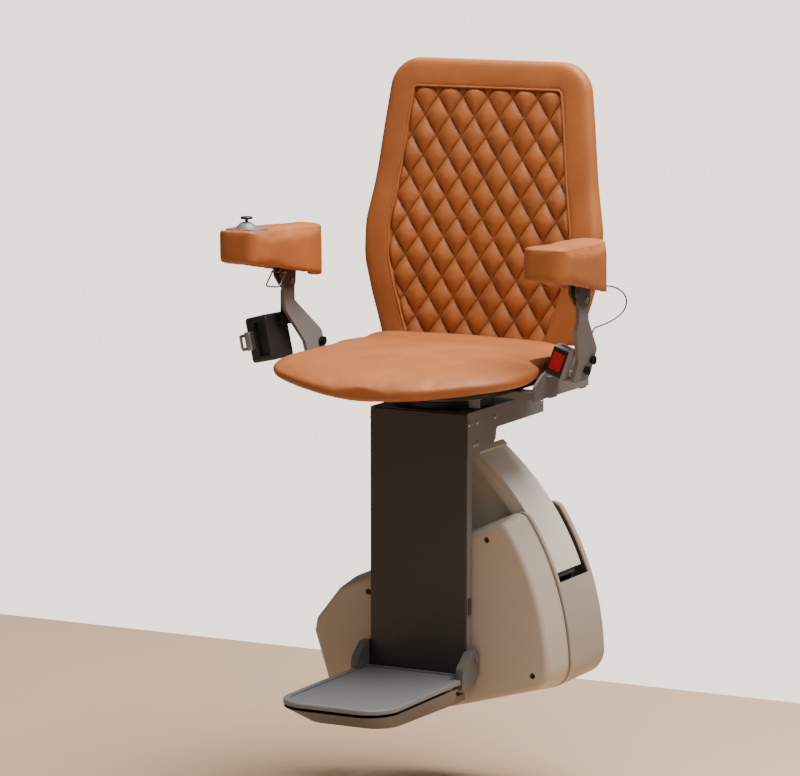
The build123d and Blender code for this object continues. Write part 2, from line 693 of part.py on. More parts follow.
def make_footrest_frame():
    """Cast plate under the step with an ear on each side of the column."""
    half = COLUMN_WIDTH / 2
    deck = FOOT_TOP_Z - TRAY_DEPTH
    bottom = deck - FOOT_PLATE
    plate_half = FOOT_WIDTH / 2 - 16
    plate_front = FOOT_FRONT_Y + 35
    plate = slab_z(rounded(poly((-plate_half, FOOT_BACK_Y), (plate_half, FOOT_BACK_Y),
                                (plate_half, plate_front), (-plate_half, plate_front)),
                           [(plate_half, plate_front, 45), (-plate_half, plate_front, 45)]), bottom, deck)
    rear = FOOT_PIVOT_Y + 11.5
    top = FOOT_PIVOT_Z + 13
    ear = slab_x(rounded(poly((-130, bottom), (-128, top - 22), (-101, top - 1), (FOOT_PIVOT_Y - 1, top),
                              (rear, top - 8), (rear, top - 38), (-84, bottom)),
                         [(-128, top - 22, 10), (-101, top - 1, 10), (FOOT_PIVOT_Y - 1, top, 6),
                          (rear, top - 8, 7), (rear, top - 38, 10)]),
                 half + 2, half + 2 + EAR)
    ear -= rod_x(FOOT_PIVOT_Y, FOOT_PIVOT_Z, PIN_R + PIN_GAP, half, half + 20)
    frame = plate
    for x, y in pan_guide_places():
        frame -= rod_z(x, y, PAN_GUIDE_R + PIN_GAP, bottom - 1, deck + 1)
    frame += both_sides(ear + block(half - 16, half + 2 + EAR, -128, FOOT_BACK_Y - 1, bottom, deck))
    return frame


def make_footrest_tray():
    """Grey moulded step with a raised rim."""
    tray = slab_z(foot_outline(), FOOT_TOP_Z - TRAY_DEPTH, FOOT_TOP_Z)
    tray = fillet(tray.faces().sort_by(Axis.Z)[-1].edges(), 2.5)
    well = slab_z(foot_outline(11, FOOT_BACK_Y - 8), FOOT_TOP_Z - 2.5, FOOT_TOP_Z + 1)
    tray -= well
    half = COLUMN_WIDTH / 2
    for side in (1, -1):
        x_low = min(side * (half + 1), side * (half + 30))
        x_high = max(side * (half + 1), side * (half + 30))
        tray -= block(x_low, x_high, -132, -60, FOOT_TOP_Z - 10, FOOT_TOP_Z + 5)
    return tray


def make_footrest_seal():
    """Black foam strip in the gap between the step and the safety pan."""
    z_high = FOOT_TOP_Z - TRAY_DEPTH
    ring = slab_z(foot_outline(10, -134), z_high - 2.5, z_high)
    return ring - slab_z(foot_outline(14, -120), z_high - 6, z_high + 1)


def make_footrest_pan():
    """Light grey safety pan that gives way upwards when it meets something."""
    rim = FOOT_TOP_Z - 12
    outline = foot_outline(1, -134)
    bottom = rounded(poly((-84, -134), (84, -134), (74, FOOT_FRONT_Y + 52), (-74, FOOT_FRONT_Y + 52)),
                     [(74, FOOT_FRONT_Y + 52, 40), (-74, FOOT_FRONT_Y + 52, 40)])
    outer = loft([Pos(0, 0, rim) * outline, Pos(0, 0, PAN_BOTTOM_Z) * bottom], ruled=True)
    core_top = foot_outline(5, -137)
    core_bottom = rounded(poly((-80, -137), (80, -137), (70, FOOT_FRONT_Y + 56), (-70, FOOT_FRONT_Y + 56)),
                          [(70, FOOT_FRONT_Y + 56, 36), (-70, FOOT_FRONT_Y + 56, 36)])
    core = loft([Pos(0, 0, rim + 0.01) * core_top, Pos(0, 0, PAN_BOTTOM_Z + 3) * core_bottom], ruled=True)
    rear = block(-84, 84, -136, FOOT_BACK_Y - 1, PAN_BOTTOM_Z, PAN_BOTTOM_Z + 11)
    notch = block(-100, 100, -140, -120, rim - 11, rim + 5)
    pan = (outer - core) - notch + rear
    deck = FOOT_TOP_Z - TRAY_DEPTH
    for x, y in pan_guide_places():
        pan += rod_z(x, y, PAN_GUIDE_R, PAN_BOTTOM_Z + 1, deck - PAN_TRAVEL - 2 * RUN_GAP)
    return pan


def make_footrest_pins():
    half = COLUMN_WIDTH / 2
    pin = rod_x(FOOT_PIVOT_Y, FOOT_PIVOT_Z, PIN_R, half - 14, half + 2 + EAR)
    pin += rod_x(FOOT_PIVOT_Y, FOOT_PIVOT_Z, PIN_R + 2.5, half + 2 + EAR, half + 4 + EAR)
    return both_sides(pin)


# ---------------------------------------------------------------- swivel and seat frame
SWIVEL_TOP = SWIVEL_BASE + RUN_GAP + SWIVEL_PLATE


def make_swivel_plate():
    """Turntable with its spigot, under the seat frame."""
    plate = rod_z(0, 0, SWIVEL_R - 1, SWIVEL_BASE + RUN_GAP, SWIVEL_TOP)
    plate += rod_z(0, 0, SPIGOT_R, 2.5, SWIVEL_BASE + 1)
    plate += rod_z(SWIVEL_LEVER_X, SWIVEL_LEVER_Y, LEVER_STUD_R, SWIVEL_TOP - 1, SWIVEL_TOP + 5)
    return plate - rod_z(LOCK_X, 0, LOCK_R + PIN_GAP, SWIVEL_BASE - 1, SWIVEL_TOP + 1)


def back_face(depth, height):
    """Point (Y, Z) at a depth behind the back's front plane and a height along it."""
    lean = math.radians(BACK_LEAN)
    return (BACK_Y + depth * math.cos(lean) + height * math.sin(lean),
            BACK_Z - depth * math.sin(lean) + height * math.cos(lean))


def back_upright():
    """Cranked flat bar from the rear cross tube up the back of the shell."""
    depth = BACK_CUSHION + BACK_SHELL
    bar = 6.0
    tube = 136.0
    outline = poly((tube - 1, 28), (tube - 1, 54), (tube, 56), back_face(depth, -2), back_face(depth, 250),
                   back_face(depth + bar, 250), back_face(depth + bar, -5), (tube + bar, 52),
                   (tube + bar, 28))
    return slab_x(outline, 72, 108)


def post_inner_x(z):
    """Inner face of an arm post's sloping lower half at this height."""
    slope = (POST_TOP_X - POST_FOOT_X) / (POST_BEND_Z - POST_FOOT_Z)
    return POST_FOOT_X + (z - POST_FOOT_Z) * slope


def make_seat_frame():
    """Welded frame: two cross tubes on the turntable, a plate along each side of the seat."""
    low = SWIVEL_TOP
    top = PAN_FLOOR_Z - RUN_GAP
    side = RAIL_INNER_X
    under = low + 6.2
    front_bar = block(-side, side, -62, -30, under, top)
    middle_bar = block(-side, side, 6, 30, low, under)
    rear_bar = block(-side, side, 118, 136, low, 56)
    spine_bar = block(-30, 30, -62, 120, low, under)
    high = SIDE_PLATE_TOP
    plate_outline = rounded(poly((-60, 22), (-60, 44), (-30, 60), (60, high), (136, high), (136, 22)),
                            [(-60, 44, 8), (60, high, 20), (136, high, 10)])
    plate = slab_x(plate_outline, side, side + SIDE_PLATE)
    shelf = block(side + SIDE_PLATE, post_inner_x(52), -20, 28, 52, 56)
    frame = front_bar + middle_bar + rear_bar + spine_bar + both_sides(plate + shelf + back_upright())
    frame -= rod_x(SEAT_PIVOT_Y, SEAT_PIVOT_Z, PIN_R, -side - 10, side + 10)
    frame -= rod_z(LOCK_X, 0, 12, low - 1, 60)
    return frame


def make_pivot_pins():
    """Two pins of the seat hinge and two of the arm hinges."""
    side = RAIL_INNER_X
    seat_pin = rod_x(SEAT_PIVOT_Y, SEAT_PIVOT_Z, PIN_R, side - 4, side + SIDE_PLATE)
    seat_pin += rod_x(SEAT_PIVOT_Y, SEAT_PIVOT_Z, PIN_R + 3, side + SIDE_PLATE, side + SIDE_PLATE + 3)
    arm_pin = rod_x(ARM_PIVOT_Y, ARM_PIVOT_Z, PIN_R, POST_TOP_X - 6, POST_TOP_X + POST + 6)
    return both_sides(seat_pin) + both_sides(arm_pin)


def make_swivel_lever():
    """Flat grey lever at the front right of the turntable."""
    low = SWIVEL_TOP + RUN_GAP
    arm = poly((52, -12), (68, -12), (94, -50), (94, -66), (76, -66), (52, -24))
    outline = rounded(arm, [(94, -50, 6), (94, -66, 6), (76, -66, 6)])
    lever = slab_z(outline, low, low + 3.5)
    lever += block(76, 94, -66, -63, 6, low + 3.5)
    hub = rod_z(SWIVEL_LEVER_X, SWIVEL_LEVER_Y, 10, low, low + 3.5)
    return lever + hub - rod_z(SWIVEL_LEVER_X, SWIVEL_LEVER_Y, LEVER_STUD_R + PIN_GAP, low - 1, low + 10)


def make_lock_pin():
    """Lock pin that drops through the turntable into the ring groove."""
    pin = rod_z(LOCK_X, 0, LOCK_R, 7, SWIVEL_TOP + 6)
    return pin + rod_z(LOCK_X, 0, 7, SWIVEL_TOP + RUN_GAP, SWIVEL_TOP + 6)


# ---------------------------------------------------------------- seat
def seat_section(y, half, floor_half, floor, edge_low, edge_high, crown):
    """Cross-section of the seat cushion at this Y: flat below, drawn in at the sides, crowned."""
    middle = (edge_low + edge_high) / 2
    outline = Line((-floor_half, floor), (floor_half, floor))
    outline += Line((floor_half, floor), (half - 5, edge_low))
    outline += ThreePointArc((half - 5, edge_low), (half, middle), (half - 6, edge_high))
    outline += ThreePointArc((half - 6, edge_high), (0, crown), (6 - half, edge_high))
    outline += ThreePointArc((6 - half, edge_high), (-half, middle), (5 - half, edge_low))
    outline += Line((5 - half, edge_low), (-floor_half, floor))
    return facing_front(y) * make_face(outline)


def wing_section(y):
    """Section of the seat's wide front half, which thins and narrows towards the knees."""
    rise = (y - SEAT_FRONT_Y) / (WING_Y - SEAT_FRONT_Y)
    fall = (1 - rise) ** 2.6
    if y > SEAT_WIDEST_Y:
        half = SEAT_HALF - 13 * ((y - SEAT_WIDEST_Y) / (WING_Y - SEAT_WIDEST_Y)) ** 2
    else:
        reach = (SEAT_WIDEST_Y - y) / (SEAT_WIDEST_Y - SEAT_FRONT_Y + 3)
        half = SEAT_HALF * (1 - reach ** 2.3) ** (1 / 2.3)
    floor = CUSHION_BOTTOM_Z - 11 * (1 - rise) ** 2
    return seat_section(y, half, 0.76 * half, floor, 42 + 28 * rise ** 2, 81 - 26 * fall, 93 - 31 * fall)


def lip_section(y, reach):
    """Section between the arm posts: narrow between the side plates, with a lip over them."""
    floor = CUSHION_BOTTOM_Z
    low = SIDE_PLATE_TOP + 1.5
    outline = Line((-163, floor), (163, floor))
    outline += Line((163, floor), (177, floor + 6))
    outline += Line((177, floor + 6), (177, low))
    outline += Line((177, low), (reach - 3, low))
    outline += ThreePointArc((reach - 3, low), (reach, low + 2), (reach - 5, low + 4))
    outline += ThreePointArc((reach - 5, low + 4), (0, 93), (5 - reach, low + 4))
    outline += ThreePointArc((5 - reach, low + 4), (-reach, low + 2), (3 - reach, low))
    outline += Line((3 - reach, low), (-177, low))
    outline += Line((-177, low), (-177, floor + 6))
    outline += Line((-177, floor + 6), (-163, floor))
    return facing_front(y) * make_face(outline)


def make_seat_cushion():
    floor = CUSHION_BOTTOM_Z
    rear = loft([
        seat_section(SEAT_BACK_Y, 168, 158, floor + 1, floor + 6, 80, 87),
        seat_section(SEAT_BACK_Y - 9, 171, 161, floor, floor + 5, 84, 91),
        seat_section(30, 175, 163, floor, floor + 5, 86, 93)])
    rear += loft([lip_section(LIP_BACK_Y, 183), lip_section(LIP_BACK_Y - 8, 189), lip_section(0, SEAT_LIP),
                  lip_section(WING_Y - 12, SEAT_LIP + 3)])
    front = loft([wing_section(y) for y in (WING_Y, -96, -130, -170, -210, -245, -270, SEAT_FRONT_Y)])
    return rear + front - block(-156, 156, -192, 100, 30, floor)


def make_seat_pan():
    """Moulded pan that the cushion sits in, with the hinge ears."""
    outline = rounded(poly((-152, 96), (152, 96), (152, -140), (118, -188), (-118, -188), (-152, -140)),
                      [(152, -140, 30), (118, -188, 30), (-118, -188, 30), (-152, -140, 30)])
    top = CUSHION_BOTTOM_Z - 2 * RUN_GAP
    pan = slab_z(outline, PAN_FLOOR_Z, top)
    pan -= slab_z(offset(outline, -4), PAN_FLOOR_Z - 1, top - 4)
    for x in (-100, 0, 100):
        pan += block(x - 2, x + 2, -186, 94, PAN_FLOOR_Z, top - 3)
    side = RAIL_INNER_X - 0.5
    ear = slab_x(rounded(poly((52, PAN_FLOOR_Z), (58, 70), (75, 80), (92, 70), (97, PAN_FLOOR_Z)),
                         [(75, 80, 12)]), side - 3, side)
    ear += block(149, side, 54, 94, PAN_FLOOR_Z, PAN_FLOOR_Z + 4)
    ear -= rod_x(SEAT_PIVOT_Y, SEAT_PIVOT_Z, PIN_R + PIN_GAP, 150, side + 1)
    return pan + both_sides(ear)


# ---------------------------------------------------------------- backrest
BACK = Pos(0, BACK_Y, BACK_Z) * Rot(-BACK_LEAN, 0, 0)


def back_outline(inset=0.0, drop=0.0):
    """Outline of the back, widest at a third of its height, in its own leaning plane."""
    right = [(172 - 0.327 * drop, -drop), (190, 55), (205, 113), (206, 175), (193, 250), (180, 363), (169, BACK_HEIGHT)]
    left = [(-x, h) for x, h in reversed(right)]
    outline = poly(*right, *left)
    corners = []
    for side in (1, -1):
        corners += [(side * 169, BACK_HEIGHT, 52), (side * 180, 363, 300), (side * 193, 250, 300),
                    (side * 206, 175, 120), (side * 205, 113, 120), (side * 190, 55, 200)]
        if not drop:
            corners.append((side * 172, 0, 14))
    outline = rounded(outline, corners)
    if inset:
        outline = offset(outline, -inset)
    return outline


def quilt_grooves(depth):
    """Crossing V-shaped seams that leave raised diamonds in the middle of the back."""
    slope = math.degrees(math.atan2(DIAMOND_HEIGHT, DIAMOND_WIDTH))
    step = DIAMOND_WIDTH * math.sin(math.radians(slope))
    wedge = Polygon((-5.5, 0.5), (5.5, 0.5), (0, -depth), align=None)
    bar = extrude(Plane.XY * wedge, 700, both=True)
    grooves = []
    middle = BACK_HEIGHT / 2
    for lean in (slope, -slope):
        for k in range(-8, 9):
            across = (k + 0.5) * step
            turn = math.radians(lean)
            x = -math.sin(turn) * across
            z = middle + math.cos(turn) * across
            # the wedge opens towards -Y and runs along the seam in the XZ plane
            seam = Pos(x, 0, z) * Rot(0, 90 - lean, 0) * Rot(180, 0, 0) * bar
            grooves.append(seam)
    return grooves


def make_backrest_cushion():
    """Leather-covered foam: a plain border round a quilted panel that runs out at the bottom."""
    body = slab_y(back_outline(0, 2 * BACK_BORDER), 0, BACK_CUSHION)
    body = fillet(body.faces().sort_by(Axis.Y)[0].edges(), 9)
    body = fillet(body.faces().sort_by(Axis.Y)[-1].edges(), 5)
    body -= slab_y(back_outline(BACK_BORDER - SEAM_WIDTH, 2 * BACK_BORDER), -2, STITCH_DEPTH)
    panel = slab_y(back_outline(BACK_BORDER, 2 * BACK_BORDER), 0, STITCH_DEPTH)
    for groove in quilt_grooves(STITCH_DEPTH - QUILT_SKIN):
        panel -= groove
    below = block(-250, 250, -50, 100, -3 * BACK_BORDER, 0)
    return BACK * (body + panel - below)


def make_backrest_shell():
    shell = slab_y(back_outline(7), BACK_CUSHION, BACK_CUSHION + BACK_SHELL)
    return BACK * fillet(shell.faces().sort_by(Axis.Y)[-1].edges(), 7)


# ---------------------------------------------------------------- arms
def post_outline():
    front = ARM_PIVOT_Y - POST_WIDTH / 2
    rear = ARM_PIVOT_Y + POST_WIDTH / 2
    top = ARM_PIVOT_Z + POST_WIDTH / 2
    return rounded(poly((front, top), (rear, top), (rear, POST_BEND_Z), (38, 96), (36, POST_FOOT_Z),
                        (-22, POST_FOOT_Z), (-22, 84), (front, POST_BEND_Z - 14)),
                   [(front, top, 16.5), (rear, top, 16.5), (rear, POST_BEND_Z, 8), (38, 96, 12),
                    (36, POST_FOOT_Z, 12), (-22, POST_FOOT_Z, 6)])


def post_bolt_places():
    return [(24, 80), (10, 65)]


def make_arm_post():
    """Bent steel plate from the seat frame up to the arm hinge, sitter's left side of the frame."""
    top = ARM_PIVOT_Z + POST_WIDTH / 2
    strip = poly((POST_FOOT_X, POST_FOOT_Z), (POST_FOOT_X + POST, POST_FOOT_Z),
                 (POST_TOP_X + POST, POST_BEND_Z), (POST_TOP_X + POST, top + 1),
                 (POST_TOP_X, top + 1), (POST_TOP_X, POST_BEND_Z + 1))
    post = slab_x(post_outline(), POST_FOOT_X - 5, POST_TOP_X + 20) & slab_y(strip, -90, 60)
    post -= rod_x(ARM_PIVOT_Y, ARM_PIVOT_Z, PIN_R, POST_FOOT_X, POST_TOP_X + 20)
    for y, z in post_bolt_places():
        post -= rod_x(y, z, 4.0, POST_FOOT_X - 10, POST_TOP_X + 20)
    return post


def make_post_bolts():
    bolts = Part()
    for y, z in post_bolt_places():
        x = post_inner_x(z)
        bolt = rod_x(y, z, 4.0, x - 9, x + POST + 3)
        bolt += rod_x(y, z, 7.0, x + POST + 2.2, x + POST + 7) - rod_x(y, z, 3, x + POST + 4, x + POST + 8)
        bolt += slab_x(Pos(y, z) * RegularPolygon(7.5, 6), x - 9, x - 2.5)
        bolts += both_sides(bolt)
    return bolts


def arm_outline():
    """Kidney outline of the arm pad from above, for the +X side."""
    inner_front = 231
    outer_front = 297
    inner_back = 222
    outer_back = 274
    outline = poly((inner_back, ARM_BACK_Y), (outer_back, ARM_BACK_Y), (outer_front - 7, -90),
                   (outer_front, ARM_FRONT_Y), (inner_front, ARM_FRONT_Y), (inner_front - 1, -140),
                   (inner_back - 1, -80), (inner_back - 1, -20))
    return rounded(outline, [(inner_back, ARM_BACK_Y, 9), (outer_back, ARM_BACK_Y, 9),
                             (outer_front, ARM_FRONT_Y, 10), (inner_front, ARM_FRONT_Y, 9),
                             (inner_front - 1, -140, 60), (inner_back - 1, -80, 60), (outer_front - 7, -90, 100)])


def arm_underside(y):
    """Height of the arm's flat underside, which falls towards the back."""
    return 226.0 - (y - ARM_FRONT_Y + 5) * 0.129


def arm_side():
    """Side of the arm pad: deeper at the back, with the rear lower corner cut away."""
    front = ARM_FRONT_Y - 5
    return poly((front, arm_underside(front) + ARM_PLATE), (-7, arm_underside(-7) + ARM_PLATE),
                (ARM_BACK_Y + 5, 226), (ARM_BACK_Y + 5, 267), (front, 275.5))


def make_arm_pad(side):
    """Padded hide over the plate: it hangs down round the hinge, with a slot for the post."""
    front = ARM_FRONT_Y - 5
    rear = ARM_BACK_Y + 5
    wrap = poly((front, 228), (rear, 188), (rear, 267), (front, 275.5))
    pad = slab_z(arm_outline(), 170, 290) & slab_x(wrap, 200, 310)
    pad = fillet(pad.edges(), 4)
    above = slab_x(arm_side(), 200, 310)
    hollow = slab_z(offset(arm_outline(), RUN_GAP - PLATE_INSET), 170, 290) - above
    hollow &= block(200, 310, ARM_FRONT_Y, PLATE_BACK_Y + RUN_GAP, 170, 290)
    slot = block(POST_TOP_X - PAD_SLOT, POST_TOP_X + POST + PAD_SLOT, LEVER_Y - 20, rear + 5, 170, 290) - above
    pad = pad - hollow - slot
    if side < 0:
        pad = mirrored(pad)
        pad -= block(STICK_X - 17, STICK_X + 17, STICK_Y - 16, STICK_Y + 16, 250, 290)
        pad -= block(STICK_X - 29, STICK_X + 29, STICK_Y - 22, STICK_Y + 24, ARM_TOP_Z, 290)
    return pad


def make_arm_base(side):
    """Steel plate under the pad with two lugs that straddle the post."""
    front = ARM_FRONT_Y + 12
    back = PLATE_BACK_Y
    plate_side = poly((front, arm_underside(front)), (back, arm_underside(back)),
                      (back, arm_underside(back) + ARM_PLATE), (front, arm_underside(front) + ARM_PLATE))
    outline = offset(arm_outline(), -PLATE_INSET)
    base = slab_z(outline, 190, 290) & slab_x(plate_side, 200, 310)
    bottom = ARM_PIVOT_Z - 10
    lug_front = LEVER_Y - 6
    lug_back = ARM_PIVOT_Y + 12
    lug = rounded(poly((lug_front, arm_underside(lug_front) + 2), (lug_back + 3, arm_underside(lug_back) + 2),
                       (lug_back, bottom), (ARM_PIVOT_Y - 12, bottom), (lug_front, LEVER_Z - 6)),
                  [(lug_back, bottom, 10), (ARM_PIVOT_Y - 12, bottom, 10), (lug_front, LEVER_Z - 6, 5)])
    lugs = slab_x(lug, POST_TOP_X - RUN_GAP - 4, POST_TOP_X - RUN_GAP)
    lugs += slab_x(lug, POST_TOP_X + POST + RUN_GAP, POST_TOP_X + POST + RUN_GAP + 4)
    base += lugs
    base -= rod_x(ARM_PIVOT_Y, ARM_PIVOT_Z, PIN_R + PIN_GAP, 220, 290)
    base -= rod_x(LEVER_Y, LEVER_Z, LEVER_PIN_R + PIN_GAP, 220, 290)
    if side > 0:
        gland_x, gland_y, gland_z = CABLE_ROUTE[0]
        base += rod_y(gland_x, gland_z, 3.0, back - 8, gland_y)
        base += block(gland_x - 2.5, gland_x + 2.5, back - 8, back, gland_z, arm_underside(back) + 1)
    return base if side > 0 else mirrored(base)


def make_control_plate():
    """Grey plate with the switch box below and a round dome with a hole for the stick."""
    plate = block(STICK_X - 28, STICK_X + 28, STICK_Y - 21, STICK_Y + 23, ARM_TOP_Z + 0.3, ARM_TOP_Z + 4.5)
    plate = fillet(plate.edges().filter_by(Axis.Z), 7)
    box = block(STICK_X - 16, STICK_X + 16, STICK_Y - 15, STICK_Y + 15, 252, ARM_TOP_Z + 1)
    dome_r = 17
    rise = 11
    ball = (dome_r ** 2 + rise ** 2) / (2 * rise)
    dome = Pos(STICK_X, STICK_Y, ARM_TOP_Z + 4.5 + rise - ball) * Sphere(ball)
    dome = dome & block(STICK_X - 20, STICK_X + 20, STICK_Y - 20, STICK_Y + 20, ARM_TOP_Z + 4, ARM_TOP_Z + 20)
    body = plate + box + dome
    well = rod_z(STICK_X, STICK_Y, 9, STICK_PIVOT_Z - STICK_FOOT_R - RUN_GAP, ARM_TOP_Z + 6) + rod_z(STICK_X, STICK_Y, 6, 270, 300)
    return body - well


def make_joystick():
    """Stem with a mushroom knob; it tips about a pivot in the switch box."""
    stem = rod_z(STICK_X, STICK_Y, 2.5, STICK_PIVOT_Z, ARM_TOP_Z + 21)
    foot = Pos(STICK_X, STICK_Y, STICK_PIVOT_Z) * Sphere(STICK_FOOT_R)
    knob = rod_z(STICK_X, STICK_Y, 9.5, ARM_TOP_Z + 19, ARM_TOP_Z + 23)
    return stem + foot + fillet(knob.edges(), 1.6)


def make_release_lever():
    """Bent wire loop under the left arm that frees the arm hinge."""
    x = -POST_TOP_X - POST / 2
    corners = [(x - 12, LEVER_Y, LEVER_Z), (x - 12, LEVER_Y - 22, LEVER_Z - 21),
               (x + 12, LEVER_Y - 22, LEVER_Z - 21), (x + 12, LEVER_Y, LEVER_Z)]
    path = FilletPolyline(*corners, radius=4)
    profile = Plane(origin=path @ 0, z_dir=path % 0) * Circle(1.3)
    loop = sweep(profile, path)
    return loop + rod_x(LEVER_Y, LEVER_Z, LEVER_PIN_R, x - 13, x + 13)


# ---------------------------------------------------------------- belt
# The retractor leans with the arm post. Its own frame stands in the middle of its case.
BELT = Pos(BELT_X, BELT_Y, BELT_Z) * Rot(0, -BELT_TILT, 0)


def make_belt_housing():
    """Black retractor case outside the left post, with a window in its front and a mouth for the belt."""
    half = BELT_LENGTH / 2
    case = block(-BELT_WIDTH / 2, BELT_WIDTH / 2, -BELT_DEPTH / 2, BELT_DEPTH / 2, -half, half)
    case = fillet(case.edges().filter_by(Axis.X), 6)
    case = fillet(case.faces().sort_by(Axis.Y)[0].edges(), 2.5)
    bore = rod_z(SPOOL_X, SPOOL_Y, SPOOL_R + 2, 8 - half, half - 8)
    mouth = SPOOL_X - SPOOL_R
    case -= block(mouth - 2.2, mouth + 2.2, -BELT_DEPTH, SPOOL_Y, -WEBBING / 2 - 1.5, WEBBING / 2 + 1.5)
    case -= block(mouth + 7, BELT_WIDTH / 2 - 4, -BELT_DEPTH, 7 - BELT_DEPTH / 2, 9 - half, half - 9)
    outer = -POST_TOP_X - POST
    tab = block(outer - 2, outer, -57, -27, 112, 168) + block(BELT_X + 13, outer, -57, -27, 112, 118)
    return BELT * case + tab - BELT * bore


def make_belt_spool():
    """Spool with the wound webbing and its axle, upright in the case."""
    half = BELT_LENGTH / 2 - 8
    return BELT * (rod_z(SPOOL_X, SPOOL_Y, SPOOL_R, 1 - half, half - 1)
                   + rod_z(SPOOL_X, SPOOL_Y, 4, 0.2 - half, half - 0.2))


def make_belt_tongue():
    """Steel tongue parked at the mouth of the retractor, with its moulded grip."""
    x = SPOOL_X - SPOOL_R
    front = -BELT_DEPTH / 2
    plate = block(x - 1.3, x + 1.3, front - 38, front - 12, -13, 13)
    plate = fillet(plate.edges().filter_by(Axis.X), 4)
    plate -= block(x - 5, x + 5, front - 33, front - 22, -8, 8)
    grip = fillet(block(x - 5, x + 5, front - 16, front - RUN_GAP, -15, 15).edges(), 2)
    slit = block(x - 0.9, x + 0.9, front - 10, front + 5, -WEBBING / 2 - 0.1, WEBBING / 2 + 0.1)
    return BELT * (plate + grip - slit)


def make_belt_webbing():
    """Sewn end of the belt, from the tongue back into the retractor."""
    x = SPOOL_X - SPOOL_R
    return BELT * block(x - 0.8, x + 0.8, -BELT_DEPTH / 2 - 10, SPOOL_Y - 6, -WEBBING / 2, WEBBING / 2)


# The buckle leans the other way. Its own frame stands in the middle of its face.
BUCKLE = Pos(BUCKLE_X, 0, BUCKLE_Z) * Rot(0, BUCKLE_TILT, 0)


def make_buckle_housing():
    """Grey buckle in front of the right post, with a slot for the tongue and a recess for the button."""
    body = block(-13, 13, BUCKLE_FRONT_Y, BUCKLE_FRONT_Y + 28, -25, 25)
    body = fillet(body.edges().filter_by(Axis.X), 6)
    half = BUTTON_WIDTH / 2 + RUN_GAP
    body -= block(-half, half, BUCKLE_FRONT_Y - 2, BUCKLE_FRONT_Y + 10,
                  BUTTON_LOW - RUN_GAP, BUTTON_HIGH + RUN_GAP)
    body -= block(-7, 7, BUCKLE_FRONT_Y + 11, BUCKLE_FRONT_Y + 18, 1, 27)
    stalk = block(206, post_inner_x(60) - 0.1, BUCKLE_FRONT_Y + 22, -2, 60, 66)
    return BUCKLE * body + stalk


def make_buckle_button():
    button = block(-BUTTON_WIDTH / 2, BUTTON_WIDTH / 2, BUCKLE_FRONT_Y - 3, BUCKLE_FRONT_Y + 5,
                   BUTTON_LOW, BUTTON_HIGH)
    return BUCKLE * fillet(button.edges().filter_by(Axis.Y), 2)


# ---------------------------------------------------------------- cable
# The last stretch meets the post's sloping rear edge squarely, at half the post's thickness.
CABLE_ROUTE = [(264, 6, 197), (264, 20, 197), (267, 38, 195), (272, 54, 190), (277, 68, 181),
               (278, 77, 169), (275, 77, 155), (269, 67, 145), (262, 52, 138), (255, 36, 133.5),
               (250.5, 25, 132), (249.2, 16.62, 130.12), (249.2, 8.87, 121.04)]


def make_control_cable():
    """Thin cable from the arm to the post, one free loop behind the arm."""
    route = [Vector(*point) for point in CABLE_ROUTE]
    radii = []
    for before, corner, after in zip(route, route[1:], route[2:]):
        turn = (corner - before).get_angle(after - corner)
        run = min((corner - before).length, (after - corner).length)
        radii.append(0.45 * run / math.tan(math.radians(turn) / 2))
    print("cable radii", [round(radius, 1) for radius in radii])
    path = FilletPolyline(*CABLE_ROUTE, radius=radii)
    tube = sweep(Plane(origin=path @ 0, z_dir=path % 0) * Circle(CABLE_D / 2), path)
    print("cable length", round(path.length, 1), "volume ratio",
          round(tube.volume / (path.length * math.pi * CABLE_D ** 2 / 4), 4))
    return tube


